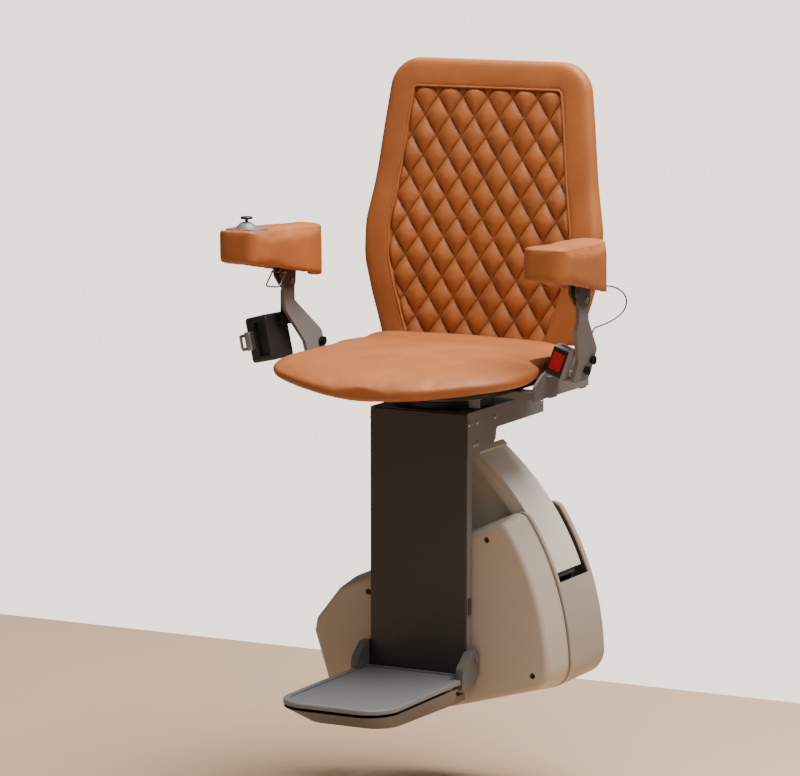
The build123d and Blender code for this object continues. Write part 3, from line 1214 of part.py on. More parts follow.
# ---------------------------------------------------------------- the whole chair
def make_parts():
    parts = {
        "drive_chassis": UNIT * make_drive_chassis(),
        "rear_frame": UNIT * make_rear_frame(),
        "front_cover": UNIT * make_front_cover(),
        "cover_screws": UNIT * make_cover_screws(),
        "rear_housing": UNIT * make_rear_housing(),
        "lower_housing": UNIT * make_lower_housing(),
        "fixed_axles": UNIT * make_axles(),
        "drive_pinion": UNIT * make_drive_pinion(),
        "drive_gearmotor": UNIT * make_drive_gearmotor(),
        "levelling_motor": UNIT * make_levelling_motor(),
        "levelling_pinion": UNIT * make_levelling_pinion(),
        "battery_pack": UNIT * make_battery_pack(),
        "control_board": UNIT * make_control_board(),
        "levelling_rack": SPINE * make_levelling_rack(),
        "spine_ring": SPINE * make_spine_ring(),
        "spine_cover": SPINE * make_spine_cover(),
        "spine_web": SPINE * make_spine_web(),
        "seat_bracket": make_seat_bracket(),
        "bracket_screws": make_bracket_screws(),
        "column_frame": make_column_frame(),
        "column_cover": make_column_cover(),
        "column_latch": make_column_latch(),
        "swivel_base": make_swivel_base(),
        "footrest_frame": make_footrest_frame(),
        "footrest_tray": make_footrest_tray(),
        "footrest_seal": make_footrest_seal(),
        "footrest_pan": make_footrest_pan(),
        "footrest_pins": make_footrest_pins(),
        "swivel_plate": make_swivel_plate(),
        "seat_frame": make_seat_frame(),
        "pivot_pins": make_pivot_pins(),
        "swivel_lever": make_swivel_lever(),
        "lock_pin": make_lock_pin(),
        "seat_cushion": make_seat_cushion(),
        "seat_pan": make_seat_pan(),
        "backrest_cushion": make_backrest_cushion(),
        "backrest_shell": make_backrest_shell(),
        "arm_post_left": mirrored(make_arm_post()),
        "arm_post_right": make_arm_post(),
        "post_bolts": make_post_bolts(),
        "arm_pad_left": make_arm_pad(-1),
        "arm_pad_right": make_arm_pad(1),
        "arm_base_left": make_arm_base(-1),
        "arm_base_right": make_arm_base(1),
        "control_plate": make_control_plate(),
        "joystick": make_joystick(),
        "release_lever": make_release_lever(),
        "belt_housing": make_belt_housing(),
        "belt_spool": make_belt_spool(),
        "belt_tongue": make_belt_tongue(),
        "belt_webbing": make_belt_webbing(),
        "buckle_housing": make_buckle_housing(),
        "buckle_button": make_buckle_button(),
        "control_cable": make_control_cable(),
    }
    for number, place in enumerate(roller_places(), start=1):
        parts["guide_roller_" + str(number)] = UNIT * make_guide_roller(place)
    for number, place in enumerate(ring_roller_places(), start=1):
        parts["ring_roller_" + str(number)] = UNIT * make_ring_roller(place)
    return parts


# The origin is the middle of the rail grip.
GRIP = (UNIT * Pos(RAIL_U, RAIL_MIDDLE_Y, 0)).position

os.makedirs("parts", exist_ok=True)
print("rail grip", GRIP)
for name, solid in make_parts().items():
    export_step(Pos(-GRIP.X, -GRIP.Y, -GRIP.Z) * solid, "parts/" + name + ".step")
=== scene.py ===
import math

import bmesh
import bpy
import numpy as np
from mathutils import Matrix, Vector, noise


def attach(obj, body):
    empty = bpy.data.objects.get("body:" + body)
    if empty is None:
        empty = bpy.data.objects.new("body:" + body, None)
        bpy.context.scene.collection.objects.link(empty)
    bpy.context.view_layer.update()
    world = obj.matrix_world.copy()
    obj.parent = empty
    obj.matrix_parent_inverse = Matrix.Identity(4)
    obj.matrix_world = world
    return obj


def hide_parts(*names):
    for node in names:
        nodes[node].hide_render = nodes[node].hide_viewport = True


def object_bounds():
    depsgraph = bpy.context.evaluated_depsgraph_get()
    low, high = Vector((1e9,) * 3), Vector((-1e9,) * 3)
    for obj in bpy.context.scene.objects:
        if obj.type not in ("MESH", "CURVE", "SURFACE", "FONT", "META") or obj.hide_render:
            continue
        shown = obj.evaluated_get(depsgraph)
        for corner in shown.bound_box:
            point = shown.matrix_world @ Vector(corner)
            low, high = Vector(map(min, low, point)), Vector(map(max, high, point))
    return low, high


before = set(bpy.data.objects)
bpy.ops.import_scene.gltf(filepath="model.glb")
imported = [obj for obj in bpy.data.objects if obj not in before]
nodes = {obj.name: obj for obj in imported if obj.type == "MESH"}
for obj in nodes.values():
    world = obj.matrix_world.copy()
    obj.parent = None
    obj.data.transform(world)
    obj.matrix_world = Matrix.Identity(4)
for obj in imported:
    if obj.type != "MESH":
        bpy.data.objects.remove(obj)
solids_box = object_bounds()

# ---------------------------------------------------------------- camera
# A long lens from the front, 27.6 degrees round to the sitter's left and 8.5 degrees up.
# It takes in the whole chair with a little air round it.
lens = bpy.data.cameras.new("camera")
lens.lens = 184.5
lens.sensor_width = 36.0
lens.sensor_fit = "HORIZONTAL"
camera = bpy.data.objects.new("camera", lens)
ahead = Vector((-0.458147, 0.876355, -0.148672)).normalized()
upward = Vector((-0.068879, 0.131754, 0.988887)).normalized()
aside = ahead.cross(upward)
camera.matrix_world = Matrix((
    (aside.x, upward.x, -ahead.x, 3.03739),
    (aside.y, upward.y, -ahead.y, -5.71967),
    (aside.z, upward.z, -ahead.z, 1.37199),
    (0, 0, 0, 1)))
bpy.context.scene.collection.objects.link(camera)
bpy.context.scene.camera = camera


# ---------------------------------------------------------------- control cable
# A thin lead in a soft black sheath. It leaves a gland under the right arm, hangs in one free loop
# behind the arm and goes into the arm post.
def at(x, y, z):
    """A place given in millimetres from the chair's turning axis at the top of the column."""
    return Vector((0.1529366 + x / 1000, -0.052 + y / 1000, 0.3934538 + z / 1000))


class Wire:
    """One socket of a material. Sums on wires add Math nodes."""

    def __init__(self, tree, socket):
        self.tree = tree
        self.socket = socket

    def math(self, operation, *values):
        node = self.tree.nodes.new("ShaderNodeMath")
        node.operation = operation
        for socket, value in zip(node.inputs, values):
            if isinstance(value, Wire):
                self.tree.links.new(value.socket, socket)
            else:
                socket.default_value = value
        return Wire(self.tree, node.outputs[0])

    def __add__(self, other):
        return self.math("ADD", self, other)

    def __radd__(self, other):
        return self.math("ADD", other, self)

    def __sub__(self, other):
        return self.math("SUBTRACT", self, other)

    def __rsub__(self, other):
        return self.math("SUBTRACT", other, self)

    def __mul__(self, other):
        return self.math("MULTIPLY", self, other)

    def __rmul__(self, other):
        return self.math("MULTIPLY", other, self)

    def __pow__(self, other):
        return self.math("POWER", self, other)

    def above(self, level, spread):
        """0 below level, 1 from level + spread on."""
        share = (self - level) * (1 / spread)
        share.socket.node.use_clamp = True
        return share


class Finish:
    """A material with one Principled shader."""

    def __init__(self, name, colour, roughness, **fixed):
        self.material = bpy.data.materials.new(name)
        self.material.use_nodes = True
        self.tree = self.material.node_tree
        self.shader = self.tree.nodes["Principled BSDF"]
        self.colour = colour
        self.feed(self.shader, {"Base Color": (*colour, 1), "Roughness": roughness})
        self.feed(self.shader, {key.replace("_", " ").title(): value for key, value in fixed.items()})
        self.material.diffuse_color = (*colour, 1)

    def feed(self, node, values):
        for name, value in values.items():
            if isinstance(value, Wire):
                self.tree.links.new(value.socket, node.inputs[name])
            else:
                node.inputs[name].default_value = value

    def node(self, kind, settings, values, out=0):
        """Any node: its settings first, then what its sockets hold or are linked to."""
        node = self.tree.nodes.new(kind)
        for name, value in settings.items():
            setattr(node, name, value)
        self.feed(node, values)
        return Wire(self.tree, node.outputs[out])

    def place(self, stretch=(1, 1, 1)):
        spot = self.node("ShaderNodeTexCoord", {}, {}, "Object")
        return self.node("ShaderNodeMapping", {}, {"Vector": spot, "Scale": stretch})

    def cloud(self, scale, detail=2.0, stretch=(1, 1, 1)):
        values = {"Vector": self.place(stretch), "Scale": scale, "Detail": detail}
        return self.node("ShaderNodeTexNoise", {}, values)

    def cells(self, scale, feature="F1", stretch=(1, 1, 1)):
        values = {"Vector": self.place(stretch), "Scale": scale}
        return self.node("ShaderNodeTexVoronoi", {"feature": feature}, values)

    def shade(self, share, low, high):
        """The finish's own colour, low times as bright where share is 0 and high times where it is 1."""
        dark = (*[part * low for part in self.colour], 1)
        light = (*[part * high for part in self.colour], 1)
        return self.mix(share, dark, light)

    def mix(self, share, first, second):
        return self.node("ShaderNodeMix", {"data_type": "RGBA"}, {0: share, 6: first, 7: second}, 2)

    def paint(self, **values):
        self.feed(self.shader, {key.replace("_", " ").title(): value for key, value in values.items()})

    def bump(self, height, distance, under=None):
        values = {"Height": height, "Distance": distance}
        if under:
            values["Normal"] = under
        relief = self.node("ShaderNodeBump", {}, values)
        self.feed(self.shader, {"Normal": relief})
        return relief

    def dress(self, *names):
        for name in names:
            for slot in nodes[name].material_slots:
                slot.material = self.material


cable_sheath = Finish("cable_sheath", (0.018, 0.017, 0.016), 0.45)
cable_sheath.paint(roughness=0.38 + 0.16 * cable_sheath.cloud(300))
cable_sheath.bump(cable_sheath.cloud(2500), 0.00005)
route = [(264, 6, 197), (264, 20, 197), (267, 38, 195), (272, 54, 190), (277, 68, 181), (278, 77, 169),
         (275, 77, 155), (269, 67, 145), (262, 52, 138), (255, 36, 133.5), (250.5, 25, 132),
         (249.2, 16.62, 130.12), (249.2, 8.87, 121.04)]
line = bpy.data.curves.new("control_cable_lead", "CURVE")
line.dimensions = "3D"
line.bevel_depth = 0.00115
line.bevel_resolution = 5
line.resolution_u = 12
line.use_fill_caps = True
run = line.splines.new("NURBS")
run.points.add(len(route) - 1)
for point, spot in zip(run.points, route):
    point.co = (*at(*spot), 1)
run.order_u = 3
run.use_endpoint_u = True
line.materials.append(cable_sheath.material)
cable = bpy.data.objects.new("control_cable_lead", line)
bpy.context.scene.collection.objects.link(cable)
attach(cable, "turntable")
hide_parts("control_cable")
tuple(at(264, 6, 197))

# ---------------------------------------------------------------- studio
# A pale floor below the chair, which ends a little behind it, in a light plain room. One large soft
# light hangs overhead, a little behind the chair, and a weaker one stands on the right.
floor_paint = Finish("studio_floor", (0.66, 0.455, 0.305), 0.6)
FLOOR_Z = solids_box[0][2] - 0.11
form = bmesh.new()
form.faces.new([form.verts.new((x, y, FLOOR_Z)) for x, y in ((-3, -3), (3, -3), (3, 0.75), (-3, 0.75))])
floor_mesh = bpy.data.meshes.new("studio_floor")
form.to_mesh(floor_mesh)
form.free()
floor_mesh.materials.append(floor_paint.material)
studio_floor = bpy.data.objects.new("studio_floor", floor_mesh)
bpy.context.scene.collection.objects.link(studio_floor)

room = bpy.data.worlds.new("studio")
room.use_nodes = True
room_light = room.node_tree.nodes["Background"]
room_light.inputs["Color"].default_value = (0.82, 0.76, 0.70, 1)
room_light.inputs["Strength"].default_value = 0.22
room_seen = room.node_tree.nodes.new("ShaderNodeBackground")
room_seen.inputs["Color"].default_value = (1.0, 0.885, 0.79, 1)
room_seen.inputs["Strength"].default_value = 2.3
straight = room.node_tree.nodes.new("ShaderNodeLightPath")
either = room.node_tree.nodes.new("ShaderNodeMixShader")
room.node_tree.links.new(straight.outputs["Is Camera Ray"], either.inputs[0])
room.node_tree.links.new(room_light.outputs[0], either.inputs[1])
room.node_tree.links.new(room_seen.outputs[0], either.inputs[2])
room.node_tree.links.new(either.outputs[0], room.node_tree.nodes["World Output"].inputs["Surface"])
bpy.context.scene.world = room


def soft_light(name, spot, aim, width, height, power, colour):
    light = bpy.data.lights.new(name, "AREA")
    light.shape = "RECTANGLE"
    light.size = width
    light.size_y = height
    light.energy = power
    light.color = colour
    lamp = bpy.data.objects.new(name, light)
    lamp.location = spot
    lamp.rotation_euler = (Vector(aim) - Vector(spot)).to_track_quat("-Z", "Y").to_euler()
    bpy.context.scene.collection.objects.link(lamp)


soft_light("top_light", (0.9, 0.08, 2.9), (0.15, 0.0, 0.4), 2.6, 2.2, 250, (1.0, 0.97, 0.93))
soft_light("right_light", (2.8, -0.7, 1.9), (0.15, 0, 0.4), 1.4, 1.4, 8, (1.0, 0.97, 0.93))

# ---------------------------------------------------------------- drive unit casings
# Two-part housing and a front cover, moulded in warm light grey plastic with a fine eroded grain.
# Four black screws in deep holes hold the cover.
def moulded(name, colour, roughness, grain=1800, depth=0.00005):
    finish = Finish(name, colour, roughness)
    finish.paint(base_color=finish.shade(finish.cloud(7, 3), 0.95, 1.05),
                 roughness=roughness - 0.05 + 0.1 * finish.cloud(60, 3))
    finish.bump(finish.cloud(grain, 3), depth)
    return finish


casing_plastic = moulded("front_cover_moulding", (0.45, 0.385, 0.32), 0.5)
casing_plastic.dress("front_cover")
housing_plastic = moulded("housing_moulding", (0.34, 0.285, 0.235), 0.5)
housing_plastic.dress("rear_housing", "lower_housing")
black_steel = Finish("blackened_steel", (0.02, 0.019, 0.018), 0.38, metallic=0.7)
black_steel.paint(roughness=0.3 + 0.2 * black_steel.cloud(500))
black_steel.bump(black_steel.cloud(1600), 0.00003)
black_steel.dress("cover_screws", "post_bolts")


# ---------------------------------------------------------------- drive unit insides
# Steel plates with posts and axles, off-white nylon rollers, cut gears, black motors with enamel
# cases, a battery pack and a lacquered control board.
def coated(name, colour, roughness, peel=900, depth=0.00006):
    """Powder coat: a fine orange peel with a few paler grains."""
    finish = Finish(name, colour, roughness)
    finish.paint(base_color=finish.shade(finish.cloud(11, 4), 0.9, 1.1),
                 roughness=roughness - 0.06 + 0.12 * finish.cloud(90, 3))
    finish.bump(finish.cloud(peel, 2), depth)
    return finish


def ground(name, colour, roughness, stretch):
    """Bare ground steel with the lines that the wheel leaves."""
    finish = Finish(name, colour, roughness, metallic=0.95)
    lines = finish.cloud(160, 4, stretch)
    finish.paint(base_color=finish.shade(lines, 0.8, 1.1), roughness=roughness - 0.08 + 0.2 * lines)
    finish.bump(lines, 0.00003)
    return finish


plate_paint = coated("plate_paint", (0.09, 0.09, 0.093), 0.45)
plate_paint.dress("drive_chassis", "rear_frame", "spine_ring")
bright_steel = ground("bright_steel", (0.55, 0.54, 0.53), 0.32, (1, 12, 1))
bright_steel.dress("fixed_axles", "drive_pinion", "levelling_pinion", "levelling_rack", "pivot_pins",
                   "lock_pin", "bracket_screws")
nylon = Finish("roller_nylon", (0.66, 0.65, 0.60), 0.42)
nylon.paint(base_color=nylon.shade(nylon.cloud(40, 3), 0.86, 1.05))
nylon.bump(nylon.cloud(420, 2, (1, 8, 1)), 0.00004)
nylon.dress("guide_roller_1", "guide_roller_2", "guide_roller_3", "guide_roller_4", "ring_roller_1",
            "ring_roller_2")
enamel = coated("motor_enamel", (0.028, 0.028, 0.03), 0.32)
enamel.dress("drive_gearmotor", "levelling_motor")
moulded("battery_case", (0.02, 0.02, 0.022), 0.5).dress("battery_pack")
lacquer = Finish("board_lacquer", (0.012, 0.09, 0.035), 0.25, coat_weight=0.5)
tracks = lacquer.cells(420, "DISTANCE_TO_EDGE", (1, 1, 0.3)).above(0.05, 0.03)
lacquer.paint(base_color=lacquer.shade(tracks, 2.2, 1.0))
lacquer.bump(tracks, 0.00005)
lacquer.dress("control_board")

# ---------------------------------------------------------------- spine
# The curved steel ring wears a smooth light moulding with an end cap, and a dished web of the same
# plastic closes the space behind the column.
spine_plastic = moulded("spine_moulding", (0.66, 0.60, 0.53), 0.4, 2400, 0.00003)
spine_plastic.dress("spine_cover", "spine_web")

# ---------------------------------------------------------------- column and bracket
# A folded steel column under a dark brown-grey front cover. The bracket that carries the chair is
# bent plate in a satin mid grey, held with small bright screws.
column_coat = coated("column_coat", (0.035, 0.031, 0.0285), 0.42)
column_coat.dress("column_cover", "column_latch")
bracket_coat = coated("bracket_coat", (0.165, 0.155, 0.152), 0.4)
bracket_coat.dress("column_frame", "seat_bracket", "swivel_plate", "seat_frame", "arm_post_left",
                   "arm_post_right")

# ---------------------------------------------------------------- swivel
# A bolted bearing base in black, and a light grey lever that sticks out on the right.
black_plastic = moulded("black_moulding", (0.017, 0.016, 0.0155), 0.45)
black_plastic.dress("swivel_base", "seat_pan", "belt_housing", "backrest_shell")
lever_plastic = moulded("grey_lever_moulding", (0.20, 0.195, 0.19), 0.38)
lever_plastic.dress("swivel_lever", "control_plate")

# ---------------------------------------------------------------- footrest
# A cast grey frame with two ears, a slate step with a raised rim, a foam seal and a light safety pan.
frame_coat = coated("footrest_coat", (0.115, 0.11, 0.105), 0.42)
frame_coat.dress("footrest_frame", "footrest_pins")
step_mat = moulded("step_mat", (0.165, 0.17, 0.176), 0.5, 1100, 0.00012)
step_mat.dress("footrest_tray")
foam = Finish("foam_strip", (0.012, 0.012, 0.012), 0.9)
foam.paint(base_color=foam.shade(foam.cloud(500, 3), 0.7, 1.3))
foam.bump(foam.cells(1500), 0.0001)
foam.dress("footrest_seal")
pan_plastic = moulded("pan_moulding", (0.10, 0.093, 0.087), 0.45)
pan_plastic.dress("footrest_pan")


# ---------------------------------------------------------------- seat cushion
# Moulded foam in tan hide, stretched over a wide front and drawn in between the arm posts.
# The hide is pulled round the edge and stapled to the pan below.
def hide(name):
    """Tan leather: soft mottling, fine pores and a few stretch creases."""
    finish = Finish(name, (0.38, 0.122, 0.036), 0.44)
    finish.shader.inputs["Specular IOR Level"].default_value = 0.28
    mottle = finish.cloud(16, 4)
    pores = finish.cells(950)
    creases = finish.cloud(55, 3, (1, 1, 0.22))
    colour = finish.shade(mottle.above(0.25, 0.5), 0.86, 1.1)
    finish.paint(base_color=colour, roughness=0.36 + 0.16 * finish.cloud(30, 3) + 0.04 * pores)
    deep = finish.bump(creases, 0.0006)
    finish.bump(pores, 0.00012, deep)
    return finish


def evaluated(piece):
    """The piece's mesh with its modifiers worked out."""
    graph = bpy.context.evaluated_depsgraph_get()
    return bpy.data.meshes.new_from_object(piece.evaluated_get(graph), depsgraph=graph)


def places(mesh):
    spots = np.zeros(len(mesh.vertices) * 3)
    mesh.vertices.foreach_get("co", spots)
    return spots.reshape(-1, 3)


def stuffed(name, node, voxel, slack, cap, shaped, pressure=4.0):
    """The node's skin in even small faces, shaped, blown up as cloth and held within cap of where it was."""
    form = bmesh.new()
    form.from_mesh(nodes[node].data)
    bmesh.ops.remove_doubles(form, verts=form.verts, dist=0.00002)
    mesh = bpy.data.meshes.new(name)
    form.to_mesh(mesh)
    form.free()
    pad = bpy.data.objects.new(name, mesh)
    bpy.context.scene.collection.objects.link(pad)
    remesh = pad.modifiers.new("even_faces", "REMESH")
    remesh.mode = "VOXEL"
    remesh.voxel_size = voxel
    skin = evaluated(pad)
    pad.modifiers.clear()
    pad.data = skin
    spots = shaped(places(skin))
    skin.vertices.foreach_set("co", spots.ravel())
    skin.update()
    normals = np.zeros(len(spots) * 3)
    skin.vertices.foreach_get("normal", normals)
    start = spots - slack * normals.reshape(-1, 3)
    skin.vertices.foreach_set("co", start.ravel())
    cloth = pad.modifiers.new("stuffing", "CLOTH")
    cloth.settings.use_pressure = True
    cloth.settings.uniform_pressure_force = pressure
    cloth.settings.effector_weights.gravity = 0.0
    cloth.settings.tension_stiffness = 40
    cloth.settings.compression_stiffness = 40
    cloth.settings.bending_stiffness = 0.5
    cloth.point_cache.frame_start = 1
    cloth.point_cache.frame_end = 20
    for number in range(1, 21):
        bpy.context.scene.frame_set(number)
    blown = places(evaluated(pad))
    bpy.context.scene.frame_set(1)
    pad.modifiers.clear()
    moved = blown - start
    length = np.linalg.norm(moved, axis=1, keepdims=True)
    moved *= np.minimum(1.0, cap / np.maximum(length, 1e-9))
    skin.vertices.foreach_set("co", (start + moved).ravel())
    skin.update()
    evener = pad.modifiers.new("evener", "SMOOTH")
    evener.factor = 0.5
    evener.iterations = 8
    finer = pad.modifiers.new("finer", "SUBSURF")
    finer.levels = 1
    finer.render_levels = 1
    smooth = evaluated(pad)
    pad.modifiers.clear()
    pad.data = smooth
    smooth.shade_smooth()
    return pad


def between(values, low, high):
    """0 up to low, 1 from high on, and a smooth rise between them."""
    share = np.clip((values - low) / (high - low), 0, 1)
    return share * share * (3 - 2 * share)


HOME = np.array(at(0, 0, 0))


def seat_shape(spots):
    """Rounder towards the knees, with its rim drawn up at both sides and its rear corners filled."""
    x, y, z = ((spots - HOME) * 1000).T
    side = np.abs(x)
    knees = between(-y, 170, 288)
    x = x * (1 - 0.07 * knees ** 2)
    rim = between(side, 10, 225) * between(-y, 70, 220) * between(-z, -84, -44)
    corner = between(y, 20, 100) * between(side, 40, 180) * between(z, 60, 80)
    z = z + 11 * rim + 4.5 * corner
    return np.column_stack((x, y, z)) / 1000 + HOME


seat_hide = hide("seat_hide")
seat_pad = stuffed("seat_pad", "seat_cushion", 0.005, 0.0015, 0.004, seat_shape)
seat_pad.data.materials.clear()
seat_pad.data.materials.append(seat_hide.material)
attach(seat_pad, "seat")
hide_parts("seat_cushion")

# ---------------------------------------------------------------- back cushion
# A plain border of tan hide, piped and stitched round a quilted panel of diamond pillows.
# The quilting runs out under the seat's rear edge.
BACK = Matrix.Translation(at(0, 105, 92)) @ Matrix.Rotation(math.radians(-6), 4, "X")
side_line = [(126, -140), (190, 55), (205, 113), (206, 175), (193, 250), (180, 363), (169, 439)]
side_setback = [44, 6, 14, 12, 21, 20, 45]


def piece(name, form, finish, body, crease=40):
    mesh = bpy.data.meshes.new(name)
    form.to_mesh(mesh)
    form.free()
    mesh.materials.append(finish.material)
    mesh.shade_smooth()
    mesh.set_sharp_from_angle(angle=math.radians(crease))
    made = bpy.data.objects.new(name, mesh)
    bpy.context.scene.collection.objects.link(made)
    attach(made, body)
    return made


BACK_FOOT = -0.005        # the border and the quilt run out a little below the shell


def winged(spot):
    """The border's sides come forward at a third of the height, most at the front."""
    out = min(abs(spot.x) / 0.206, 1.0) ** 2 * math.exp(-((spot.z - 0.150) / 0.095) ** 2)
    spot.y -= 0.010 * out * min(max(1 - spot.y / 0.024, 0.0), 1.0)


form = bmesh.new()
corners = [form.verts.new((x / 1000, 0.013, h / 1000)) for x, h in side_line]
corners += [form.verts.new((-x / 1000, 0.013, h / 1000)) for x, h in reversed(side_line)]
face = form.faces.new(corners)
face.normal_update()
if face.normal.y > 0:
    bmesh.ops.reverse_faces(form, faces=[face])
for place_in_line, setback in enumerate(side_setback):
    if setback:
        pair = [corners[place_in_line], corners[-1 - place_in_line]]
        steps_round = 14 if setback > 40 else 5
        bmesh.ops.bevel(form, geom=pair, offset=setback / 1000, offset_type="OFFSET", segments=steps_round,
                        profile=0.5, affect="VERTICES", material=-1, clamp_overlap=True)
for edge in list(form.edges):
    cuts = int(edge.calc_length() / 0.009)
    if cuts:
        bmesh.ops.subdivide_edges(form, edges=[edge], cuts=cuts)
form.faces.ensure_lookup_table()
front = form.faces[0]
rim = bmesh.ops.extrude_edge_only(form, edges=list(form.edges))
rear = [item for item in rim["geom"] if isinstance(item, bmesh.types.BMVert)]
bmesh.ops.translate(form, verts=rear, vec=(0, 0.013, 0))
rear_edges = [item for item in rim["geom"] if isinstance(item, bmesh.types.BMEdge) and
              all(vert.co.y > 0.025 for vert in item.verts)]
bmesh.ops.contextual_create(form, geom=rear_edges)
bmesh.ops.bevel(form, geom=rear_edges, offset=0.005, offset_type="OFFSET", segments=3, profile=0.5,
                affect="EDGES", material=-1)
# each step inwards over the border, and how far it rises towards the sitter
steps = [(0.4, 3.2), (1.2, 3.2), (2.0, 2.6), (3.0, 1.8), (4.5, 1.2), (7.0, 0.8), (11.0, 0.5), (10.0, 0.2),
         (4.0, -0.5), (2.0, -1.0), (1.0, -1.4), (0.6, -1.8), (0.6, -2.0), (0.8, -2.5)]
rings = []
for inwards, rise in steps:
    bmesh.ops.inset_region(form, faces=[front], thickness=inwards / 1000, depth=rise / 1000,
                           use_even_offset=True)
    rings.append([vert.co.copy() for vert in front.verts])
cut = bmesh.ops.bisect_plane(form, geom=form.verts[:] + form.edges[:] + form.faces[:], dist=0.00001,
                             plane_co=(0, 0, BACK_FOOT), plane_no=(0, 0, -1), clear_outer=True)
open_edges = [item for item in cut["geom_cut"] if isinstance(item, bmesh.types.BMEdge)]
bmesh.ops.contextual_create(form, geom=open_edges)
bmesh.ops.recalc_face_normals(form, faces=form.faces)
for vert in form.verts:
    if vert.co.y < 0.02:
        swell = noise.noise(vert.co * 11) * 0.9
        swell += noise.noise(Vector((vert.co.x * 60, 3, vert.co.z * 14))) * 0.5
        vert.co.y += swell / 1000
    winged(vert.co)
bmesh.ops.transform(form, matrix=BACK, verts=form.verts)
border_hide = hide("border_hide")
back_border = piece("back_border", form, border_hide, "turntable", 70)
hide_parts("backrest_cushion")

DIAMOND_WIDTH = 44.0
DIAMOND_HEIGHT = 64.0
DIAMOND_PARTS = 28
MIDDLE = 219.5


def edge_distance(spots, loop):
    """How far each (x, h) lies inside the closed loop, and the nearest place on it."""
    best = np.full(len(spots), 1e9)
    nearest = np.zeros_like(spots)
    inside = np.zeros(len(spots), bool)
    for first, second in zip(loop, np.roll(loop, -1, axis=0)):
        along = second - first
        share = np.clip(((spots - first) @ along) / max(along @ along, 1e-12), 0, 1)
        near = first + share[:, None] * along
        away = np.linalg.norm(spots - near, axis=1)
        closer = away < best
        best[closer] = away[closer]
        nearest[closer] = near[closer]
        crosses = (first[1] > spots[:, 1]) != (second[1] > spots[:, 1])
        with np.errstate(divide="ignore", invalid="ignore"):
            where = first[0] + (spots[:, 1] - first[1]) * along[0] / along[1]
        inside ^= crosses & (spots[:, 0] < where)
    return np.where(inside, best, -best), nearest


def quilt_depth(spots):
    """How far the diamonds stand up at each (x, h) in mm, and how near each place is to a seam; the nearness
    later paints shade into the seam valleys.
    """
    first = spots[:, 0] / DIAMOND_WIDTH + (spots[:, 1] - MIDDLE) / DIAMOND_HEIGHT + 0.5
    second = spots[:, 0] / DIAMOND_WIDTH - (spots[:, 1] - MIDDLE) / DIAMOND_HEIGHT + 0.5
    shape = np.abs(np.sin(math.pi * first)) * np.abs(np.sin(math.pi * second))
    plump = 1.0 + 0.14 * np.sin(37.0 * np.floor(first) + 91.0 * np.floor(second))
    off_seam = np.minimum(np.abs(first - np.round(first)), np.abs(second - np.round(second)))
    seam = 1 - np.clip(off_seam / 0.09, 0, 1)
    return 7.6 * plump * shape ** 0.6, seam


panel_loop = np.array([(spot.x * 1000, spot.z * 1000) for spot in rings[9]])
form = bmesh.new()
columns = 8 * DIAMOND_PARTS
rows = 7 * DIAMOND_PARTS
bmesh.ops.create_grid(form, x_segments=columns, y_segments=rows, size=0.5)
span_x = columns * DIAMOND_WIDTH / DIAMOND_PARTS
span_h = rows * DIAMOND_HEIGHT / DIAMOND_PARTS
for vert in form.verts:
    vert.co = (vert.co.x * span_x, 0, MIDDLE - 0.5 * DIAMOND_HEIGHT + vert.co.y * span_h)
spots = np.array([(vert.co.x, vert.co.z) for vert in form.verts])
depth_in, _ = edge_distance(spots, panel_loop)
form.verts.ensure_lookup_table()
for vert, inside in zip(form.verts, depth_in):
    vert.tag = inside < -1.6 or vert.co.z < 1000 * BACK_FOOT - 1.0
bmesh.ops.delete(form, geom=[vert for vert in form.verts if vert.tag], context="VERTS")
spots = np.array([(vert.co.x, vert.co.z) for vert in form.verts])
depth_in, nearest = edge_distance(spots, panel_loop)
rise, seam = quilt_depth(spots)
taper = np.clip((depth_in + 0.5) / 7.0, 0, 1) ** 0.6
# Painted shade: the seam layer is 1 in the seam valleys and where the quilt dips to the border, 0 on the
# pillow tops, and the hide is darkened by it.
seam_shade_layer = form.verts.layers.float.new("seam")
for vert, up, near, edge_share, inside, spot in zip(form.verts, rise, seam, taper, depth_in, nearest):
    wave = noise.noise(Vector((vert.co.x / 9, 5, vert.co.z / 9))) * 0.35
    lift = (up + wave) * edge_share
    vert[seam_shade_layer] = max(near, 1 - edge_share)
    if inside < 0:
        vert.co.x, vert.co.z = spot
    vert.co = (vert.co.x / 1000, (6.0 - lift) / 1000, max(vert.co.z / 1000, BACK_FOOT))
outer = [edge for edge in form.edges if edge.is_boundary]
skirt = bmesh.ops.extrude_edge_only(form, edges=outer)
skirt_verts = [item for item in skirt["geom"] if isinstance(item, bmesh.types.BMVert)]
for vert in skirt_verts:
    vert.co.y = 0.012
skirt_edges = [item for item in skirt["geom"] if isinstance(item, bmesh.types.BMEdge) and
               all(vert.co.y > 0.0119 for vert in item.verts)]
bmesh.ops.contextual_create(form, geom=skirt_edges)
bmesh.ops.recalc_face_normals(form, faces=form.faces)
for vert in form.verts:
    winged(vert.co)
bmesh.ops.transform(form, matrix=BACK, verts=form.verts)
quilt_hide = hide("quilt_hide")
# Painted shade: the hide is mixed towards dark brown (0.17, 0.055, 0.017) in the seam valleys and along the
# panel's edge.
painted_seam_shade = quilt_hide.node("ShaderNodeAttribute", {"attribute_name": "seam"}, {}, "Fac")
mottled = quilt_hide.shade(quilt_hide.cloud(22, 4).above(0.3, 0.4), 0.84, 1.08)
quilt_hide.paint(base_color=quilt_hide.mix(painted_seam_shade ** 2.0 * 0.75, mottled, (0.17, 0.055, 0.017, 1)))
back_quilt = piece("back_quilt", form, quilt_hide, "turntable", 75)
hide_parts("backrest_cushion")


